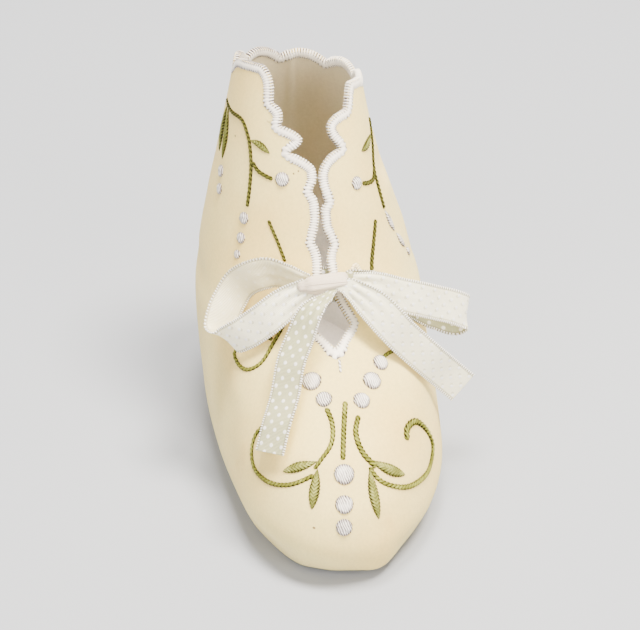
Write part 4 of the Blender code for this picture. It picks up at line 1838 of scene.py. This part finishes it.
@dataclass(frozen=True)
class Motif:
    """One worked line, leaf or dot: its way, size and route of (round, travel) places."""

    way: Stitch
    half_width: float
    route: Rows
    end_half_width: Optional[float] = None


def dots(*rows: Row) -> list[Motif]:
    """Dots from rows of half width, round and travel."""
    return [Motif(Stitch.DOT, half_width, (tuple(place),)) for half_width, *place in rows]


@dataclass
class Embroidery:
    """Olive vines and scrolls, and padded white dots, worked on the upper's cloth."""

    last: Last
    cloth_half: float = 0.6
    around_points: int = 16
    step: float = 0.12
    least_rows: int = 18
    # A leaf's outline: where along it is widest, and how full it is
    leaf_lean: float = 1.15
    leaf_fullness: float = 0.75
    # The stitches' section: how flat its top is, how deep it sinks, how far ribs move its sides
    top_power: float = 0.85
    sunk: float = 0.12
    side_rib: float = 0.4
    stem: Work = Work(pitch=1.0, slant=0.9, rise=0.7, rise_power=1.0, rib_depth=0.45)
    leaf: Work = Work(pitch=0.75, slant=0.8, rise=0.5, rise_power=0.6, rib_depth=0.38)
    dot: Work = Work(pitch=0.5, slant=0.35, rise=0.42, rise_power=0.8, rib_depth=0.22)
    green: tuple[Motif, ...] = (
        # Left flap
        Motif(Stitch.STEM, 0.5, (
            (-94, 101.2), (-78, 100.4), (-60, 100.2), (-52.5, 97), (-49, 93), (-48, 86.5),
            (-48.8, 81.8),
        )),
        Motif(Stitch.LEAF, 0.85, ((-51, 96.8), (-43, 96.8), (-34, 95.6))),
        Motif(Stitch.STEM, 0.5, ((-47.5, 92.2), (-42, 90.8), (-37, 90.4), (-31, 90.2))),
        Motif(Stitch.LEAF, 1.3, ((-88, 100.4), (-89.5, 95), (-88, 87.5))),
        Motif(Stitch.LEAF, 1.2, ((-84, 100.4), (-80, 94), (-80, 87.2))),
        Motif(Stitch.STEM, 0.4, ((-33.4, 81), (-27.5, 77), (-23, 72.8))),
        # Right flap
        Motif(Stitch.LEAF, 1.0, ((61, 97.6), (50, 96.4), (40, 95.7))),
        Motif(Stitch.STEM, 0.62, ((70, 101), (61.5, 95.6), (52.5, 89.6), (51.5, 85), (52.8, 79.4))),
        Motif(Stitch.STEM, 0.55, ((52.3, 89.8), (47, 87.9), (41, 88), (34.5, 88.7))),
        Motif(Stitch.STEM, 0.55, ((40.5, 79.2), (34.5, 74.2), (30, 69.4), (29.6, 67.6), (32, 67.4))),
        # Tendrils beside the throat
        Motif(Stitch.STEM, 0.5, (
            (-25, 59.5), (-33, 52.4), (-43, 43.4), (-50, 39.2), (-56, 38.4), (-57.4, 40.4),
            (-53, 44.6), (-46, 49.6), (-40, 52.4), (-33.5, 53),
        )),
        Motif(Stitch.STEM, 0.48, (
            (22.5, 46.6), (28.2, 47.9), (38, 46), (46, 42.2), (51, 41.6), (52.5, 44),
            (48, 47.6), (41, 50.6), (33, 51.4),
        )),
        # Toe
        Motif(Stitch.STEM, 0.6, ((2.6, 41), (0.9, 34.1), (-0.5, 27.4))),
        Motif(Stitch.STEM, 0.6, (
            (-7.4, 39.6), (-4.8, 36), (-6, 31), (-11.6, 27.2), (-15, 24.9),
        ), 0.5),
        Motif(Stitch.STEM, 0.6, ((9, 37), (7, 33.3), (10.2, 27.8), (16.2, 23.9)), 0.75),
        Motif(Stitch.LEAF, 1.35, ((13.5, 25.9), (22, 22.2), (31.3, 18.3))),
        Motif(Stitch.LEAF, 1.25, ((12.6, 24.2), (13.6, 18.4), (15.2, 12.7))),
        Motif(Stitch.STEM, 0.56, (
            (12.6, 24.6), (16, 21.7), (26.5, 17.2), (38.8, 14.2), (49, 13.6), (52.4, 16.4),
            (47.4, 22), (40.4, 26.4), (35.2, 26.6), (34.8, 24.4),
        ), 0.85),
        Motif(Stitch.LEAF, 1.25, ((-13.4, 25.2), (-14.8, 20.6), (-16, 16.2))),
        Motif(Stitch.LEAF, 1.2, ((-13.4, 26.8), (-23, 24.2), (-31, 21.4))),
        Motif(Stitch.STEM, 0.56, (
            (-15.2, 23.6), (-28.5, 19.2), (-40.5, 17), (-47, 17.4), (-48.6, 20.4), (-45.5, 25.2),
            (-40.4, 28.6), (-36, 28.4), (-35.6, 26),
        )),
    )
    white: tuple[Motif, ...] = (
        # Left flap
        *dots((1.6, -24.5, 90.7), (1.35, -79, 84.4), (1.25, -77, 80.4)),
        *dots((1.35, -50.5, 79.0), (1.25, -51.8, 74.2), (1.0, -54, 69.8)),
        # Right flap
        *dots((1.5, 29.5, 89.3)),
        Motif(Stitch.LEAF, 1.0, ((53.0, 79.0), (56.5, 75), (59.4, 71.8))),
        Motif(Stitch.LEAF, 1.0, ((61, 70.8), (65, 67), (68.4, 63.8))),
        Motif(Stitch.LEAF, 0.95, ((70, 62.4), (72, 60.5), (74, 58.2))),
        # Toe
        *dots((2.2, -14.5, 45.6), (1.85, -8.5, 41.6)),
        *dots((1.8, 24, 47), (2.1, 17.8, 43.9), (1.9, 11.2, 40.2)),
        *dots((2.2, -0.2, 24.3), (1.95, -0.8, 17.9), (1.8, -1.2, 12.9)),
        # Tack below the throat
        Motif(Stitch.STEM, 0.3, ((1.2, 51.2), (1.3, 48.0))),
    )

    def route(self, motif: Motif) -> Array:
        """Angle and travel of the places that a motif's middle line runs through.

        A dot has only its middle, so its line runs up the wall for its half width both ways.

        Args:
            motif: What is worked.

        Returns:
            One row for each place, with the angle in radians.
        """
        places = np.array(motif.route, float)
        places[:, 0] = np.radians(places[:, 0])
        if motif.way is not Stitch.DOT:
            return places
        around, travel = places.T
        up = unit(self.last.slopes(around, travel)[1])
        _, up_step = self.last.steps_for(around, travel, up)
        reach = motif.half_width * up_step * np.array([-1.0, 0.0, 1.0])
        return np.stack([np.repeat(around, len(reach)), travel + reach], axis=1)

    def outline(self, motif: Motif, t: Array, length: float) -> Array:
        """Half width along a motif as a share of its largest.

        A stem is even with rounded ends. A leaf is a power of a sine, leaning towards its tip.
        A dot is a half circle.

        Args:
            motif: What is worked.
            t: Share of the way along it.
            length: Length of its middle line.

        Returns:
            The share.
        """
        if motif.way is Stitch.STEM:
            end = np.clip(np.minimum(t, 1.0 - t) * length / motif.half_width, 0.0, 1.0)
            return np.sqrt(end * (2.0 - end))
        if motif.way is Stitch.LEAF:
            return np.sin(math.pi * t**self.leaf_lean) ** self.leaf_fullness
        return np.sqrt(np.clip(1.0 - (2.0 * t - 1.0) ** 2, 0.0, 1.0))

    def stitched(self, motif: Motif) -> Patch:
        """Closed raised surface of one motif.

        A flat oval section is carried along the motif's middle line on the cloth. Its width
        follows the motif's outline, and slanting ribs raise and lower its top.

        Args:
            motif: What is worked.

        Returns:
            The motif's surface, facing outwards.
        """
        work = {Stitch.STEM: self.stem, Stitch.LEAF: self.leaf, Stitch.DOT: self.dot}[motif.way]
        route = self.route(motif)
        length = run_length(self.last.wall(route[:, 0], route[:, 1]))
        t = np.linspace(0.0, 1.0, max(self.least_rows, int(length[-1] / self.step)))
        if motif.way is Stitch.DOT:
            t = (1.0 - np.cos(math.pi * t)) / 2.0
        s = t * length[-1]
        around, travel = curve_through(s, length, route).T
        run = unit(np.gradient(self.last.wall(around, travel), axis=0))
        sideways = unit(np.cross(run, self.last.outward(around, travel)))
        shape = self.outline(motif, t, length[-1])
        end_size = motif.half_width if motif.end_half_width is None else motif.end_half_width
        size = motif.half_width + (end_size - motif.half_width) * t
        half = (size * shape)[:, None]
        height = (work.rise * size * shape**work.rise_power)[:, None]
        angle = np.linspace(0.0, TURN, self.around_points, endpoint=False)
        lateral, rise = np.cos(angle), np.sin(angle)
        if motif.way is Stitch.STEM:
            thread = s[:, None] + work.slant * half * lateral
        elif motif.way is Stitch.LEAF:
            thread = s[:, None] + work.slant * size[:, None] * np.abs(lateral)
        else:
            thread = lateral * half + work.slant * s[:, None]
        thread = thread / work.pitch
        across = lateral
        if motif.way is Stitch.DOT:
            across = np.hypot(lateral * shape[:, None], 2.0 * t[:, None] - 1.0)
        rib = 1.0 - work.rib_depth * (0.5 - 0.5 * np.sin(TURN * thread))
        reach = half * lateral * (1.0 - self.side_rib + self.side_rib * rib)
        top = height * np.maximum(rise, 0.0) ** self.top_power * rib
        under = self.sunk * np.minimum(rise, 0.0)
        grid = self.last.beside(around, travel, sideways, reach, self.cloth_half + top + under)
        return Patch.from_grid(grid, thread, across, loop_columns=True).flipped()

    def make(self, stem_silk: Material, leaf_silk: Material, white_silk: Material) -> list[Piece]:
        """The green stems, the green leaves and the white stitching, each as one piece.

        Args:
            stem_silk: Finish of the stems.
            leaf_silk: Finish of the leaves.
            white_silk: Finish of the dots and the white leaves.

        Returns:
            The pieces.
        """
        stems = [motif for motif in self.green if motif.way is Stitch.STEM]
        leaves = [motif for motif in self.green if motif.way is Stitch.LEAF]
        kinds = (
            ("green_stems", stems, stem_silk),
            ("green_leaves", leaves, leaf_silk),
            ("white_embroidery", self.white, white_silk),
        )
        made = []
        for name, motifs, silk in kinds:
            patch = Patch.joined([self.stitched(motif) for motif in motifs])
            made.append(patch.to_object(name, silk))
        return made


@dataclass(frozen=True)
class Lamp:
    """One soft studio lamp: its place and size in metres, its power in watts and its colour."""

    name: str
    place: Row
    size: float
    power: float
    colour: Colour


@dataclass
class Studio:
    """Camera at the photograph's angle, soft lamps and a pale floor."""

    azimuth: float = 8.9
    elevation: float = 34.5
    distance: float = 850.0
    look: Row = (0.0, 0.0, 35.0)
    # Pixels of the image for a millimetre at the look point, with the one bootie framed closer
    photo_scale: float = 3.65
    closer: float = 1.25
    image_width: float = 640.0
    sensor: float = 36.0
    nearest: float = 0.01
    floor_half: float = 4.0
    sky: Colour = (1.0, 0.95, 0.88)
    sky_strength: float = 0.55
    lamps: tuple[Lamp, ...] = (
        Lamp("key", (0.26, -0.14, 0.90), 0.30, 28.0, (1.0, 0.89, 0.71)),
        Lamp("front", (0.34, -0.62, 0.44), 0.35, 5.0, (1.0, 0.90, 0.74)),
        Lamp("fill", (-0.45, -0.62, 0.50), 0.6, 8.0, (1.0, 0.92, 0.80)),
        Lamp("top", (0.0, 0.03, 0.80), 0.22, 12.0, (1.0, 0.90, 0.75)),
        Lamp("back", (0.10, 0.70, 0.70), 0.6, 5.0, (1.0, 0.94, 0.84)),
    )

    def make_camera(self) -> None:
        """A level camera at the photograph's direction and distance, aimed at the bootie."""
        az, el = math.radians(self.azimuth), math.radians(self.elevation)
        level = math.cos(el)
        forward = Vector((math.sin(az) * level, math.cos(az) * level, -math.sin(el)))
        right = Vector((math.cos(az), -math.sin(az), 0.0))
        up = right.cross(forward)
        data = bpy.data.cameras.new("camera")
        data.sensor_fit = "HORIZONTAL"
        data.sensor_width = self.sensor
        pixels = self.photo_scale * self.closer
        data.lens = self.sensor * pixels * self.distance / self.image_width
        data.clip_start = self.nearest
        camera = put_in_scene("camera", data)
        turned = Matrix((right, up, -forward)).transposed().to_4x4()
        place = (Vector(self.look) - forward * self.distance) * MM
        camera.matrix_world = Matrix.Translation(place) @ turned
        bpy.context.scene.camera = camera

    def make_lamps(self) -> None:
        """The lamps, each aimed at the bootie, and the sky that fills the shadows."""
        target = Vector(self.look) * MM
        for lamp in self.lamps:
            data = bpy.data.lights.new(lamp.name, "AREA")
            data.shape = "DISK"
            data.size = lamp.size
            data.energy = lamp.power
            data.color = lamp.colour
            light = put_in_scene(lamp.name, data)
            place = Vector(lamp.place)
            aimed = (target - place).to_track_quat("-Z", "Y").to_matrix().to_4x4()
            light.matrix_world = Matrix.Translation(place) @ aimed
        world = bpy.data.worlds.new("studio")
        world.use_nodes = True
        background = world.node_tree.nodes["Background"]
        background.inputs["Color"].default_value = (*self.sky, 1.0)
        background.inputs["Strength"].default_value = self.sky_strength
        bpy.context.scene.world = world

    def make_floor(self, finish: Material) -> None:
        """The floor, a wide level sheet at the sole.

        Args:
            finish: Its material.
        """
        half = self.floor_half
        corners = [(-half, -half, 0.0), (half, -half, 0.0), (half, half, 0.0), (-half, half, 0.0)]
        mesh = bpy.data.meshes.new("studio_floor")
        mesh.from_pydata(corners, [], [range(len(corners))])
        mesh.materials.append(finish)
        floor = put_in_scene("studio_floor", mesh)


WOOL = ClothFinish(
    "cream_wool",
    colour=(0.91, 0.74, 0.31),
    warm=(0.88, 0.66, 0.24),
    soiled=(0.72, 0.48, 0.17),
    specks=((-5.2, 12.2, 0.24), (-23.4, 95.5, 0.26), (-5.8, 92.4, 0.2), (-4.6, 93.1, 0.2)),
)
SOLE_CLOTH = ClothFinish(
    "sole_cloth",
    colour=(0.78, 0.65, 0.37),
    warm=(0.74, 0.60, 0.33),
    soiled=(0.52, 0.39, 0.20),
    glow=0.0,
)
LINING = ClothFinish(
    "lining_cloth",
    colour=(0.96, 0.92, 0.91),
    warm=(0.95, 0.90, 0.88),
    soiled=(0.88, 0.80, 0.74),
    glow=0.0,
)
WALL_LINING = ClothFinish(
    "wall_lining",
    colour=(0.66, 0.60, 0.43),
    warm=(0.62, 0.55, 0.38),
    soiled=(0.52, 0.43, 0.27),
    sheen=0.05,
    # Painted light: the lining is lighter near the sole, where light falls into the foot
    low=(0.95, 0.91, 0.88),
)
WHITE_SILK = SilkFinish(
    "white_silk",
    colour=(0.90, 0.85, 0.79),
    painted_shade=(0.05, 0.036, 0.05),
    pale=(0.97, 0.94, 0.90),
    groove=1.4,
    centre=0.0,
    edge=0.15,
    edge_from=0.15,
    depth=0.03,
    gloss=0.6,
)
CREAM_SILK = SilkFinish(
    "cream_silk",
    colour=(0.88, 0.75, 0.45),
    painted_shade=(0.30, 0.22, 0.11),
    pale=(0.92, 0.80, 0.52),
    groove=0.6,
    edge=0.1,
)
DOT_SILK = SilkFinish(
    "dot_silk",
    colour=(0.88, 0.83, 0.81),
    painted_shade=(0.06, 0.04, 0.05),
    pale=(0.97, 0.95, 0.93),
    groove=1.2,
    centre=0.65,
    edge=0.5,
    stray=1.3,
    gloss=0.6,
)
STEM_SILK = SilkFinish(
    "olive_silk",
    colour=(0.17, 0.175, 0.03),
    painted_shade=(0.012, 0.012, 0.002),
    pale=(0.31, 0.32, 0.065),
    groove=1.2,
    centre=0.45,
    edge=0.55,
    edge_from=0.25,
    gloss=0.06,
    shaft=(0.095, 0.095, 0.021),
)
LEAF_SILK = SilkFinish(
    "leaf_silk",
    colour=(0.19, 0.20, 0.045),
    painted_shade=(0.018, 0.018, 0.003),
    pale=(0.36, 0.37, 0.11),
    groove=1.1,
    centre=0.5,
    edge=0.75,
    edge_from=0.4,
    gloss=0.06,
)
RIBBON = RibbonFinish(
    "pin_dot_ribbon",
    colour=(0.96, 0.94, 0.75),
    painted_shade=(0.88, 0.86, 0.65),
    dot=(0.98, 0.98, 0.97),
    shade=(0.24, 0.22, 0.12),
    dot_shadow_weight=0.4,
)
# The ribbon's other side, with clear dots, painted much darker and greener as shade
RIBBON_SHADED_SIDE = RibbonFinish(
    "ribbon_shaded_side",
    colour=(0.50, 0.50, 0.31),
    painted_shade=(0.43, 0.44, 0.26),
    dot=(0.98, 0.98, 0.97),
    shade=(0.17, 0.15, 0.08),
    dot_radius=0.4,
)
RIBBON_PLAIN = RibbonFinish(
    "ribbon_plain",
    colour=(0.84, 0.79, 0.55),
    painted_shade=(0.74, 0.69, 0.46),
    dot=(0.95, 0.93, 0.86),
    shade=(0.24, 0.21, 0.11),
    dot_weight=0.3,
)
KNOT_RIBBON = RibbonFinish(
    "knot_ribbon",
    colour=(0.76, 0.66, 0.55),
    painted_shade=(0.66, 0.56, 0.46),
    dot=(0.97, 0.97, 0.93),
    shade=(0.30, 0.25, 0.20),
    dot_weight=0.0,
    half_width=20.0,
)


def main() -> None:
    """Build every piece of the bootie in order and report each one."""
    logging.basicConfig(level=logging.INFO, format="%(message)s")
    studio = Studio()
    studio.make_camera()
    studio.make_lamps()
    studio.make_floor(FloorFinish().make())
    last = Last()
    upper = Upper(last)
    ribbons = (RIBBON, RIBBON_SHADED_SIDE, RIBBON_PLAIN, KNOT_RIBBON)
    made = Bow(last).make(*(finish.make() for finish in ribbons))
    made.append(upper.make(WOOL.make(), WALL_LINING.make()))
    made.append(Edging(upper).make(WHITE_SILK.make()))
    made.append(SlotStitching(upper).make(CREAM_SILK.make()))
    made += Sole(last).make(SOLE_CLOTH.make(), LINING.make())
    made += Embroidery(last).make(STEM_SILK.make(), LEAF_SILK.make(), DOT_SILK.make())
    for piece in made:
        LOG.info("%s: %d faces", piece.name, len(piece.data.polygons))
    bpy.context.view_layer.update()


if __name__ == "__main__":
    main()
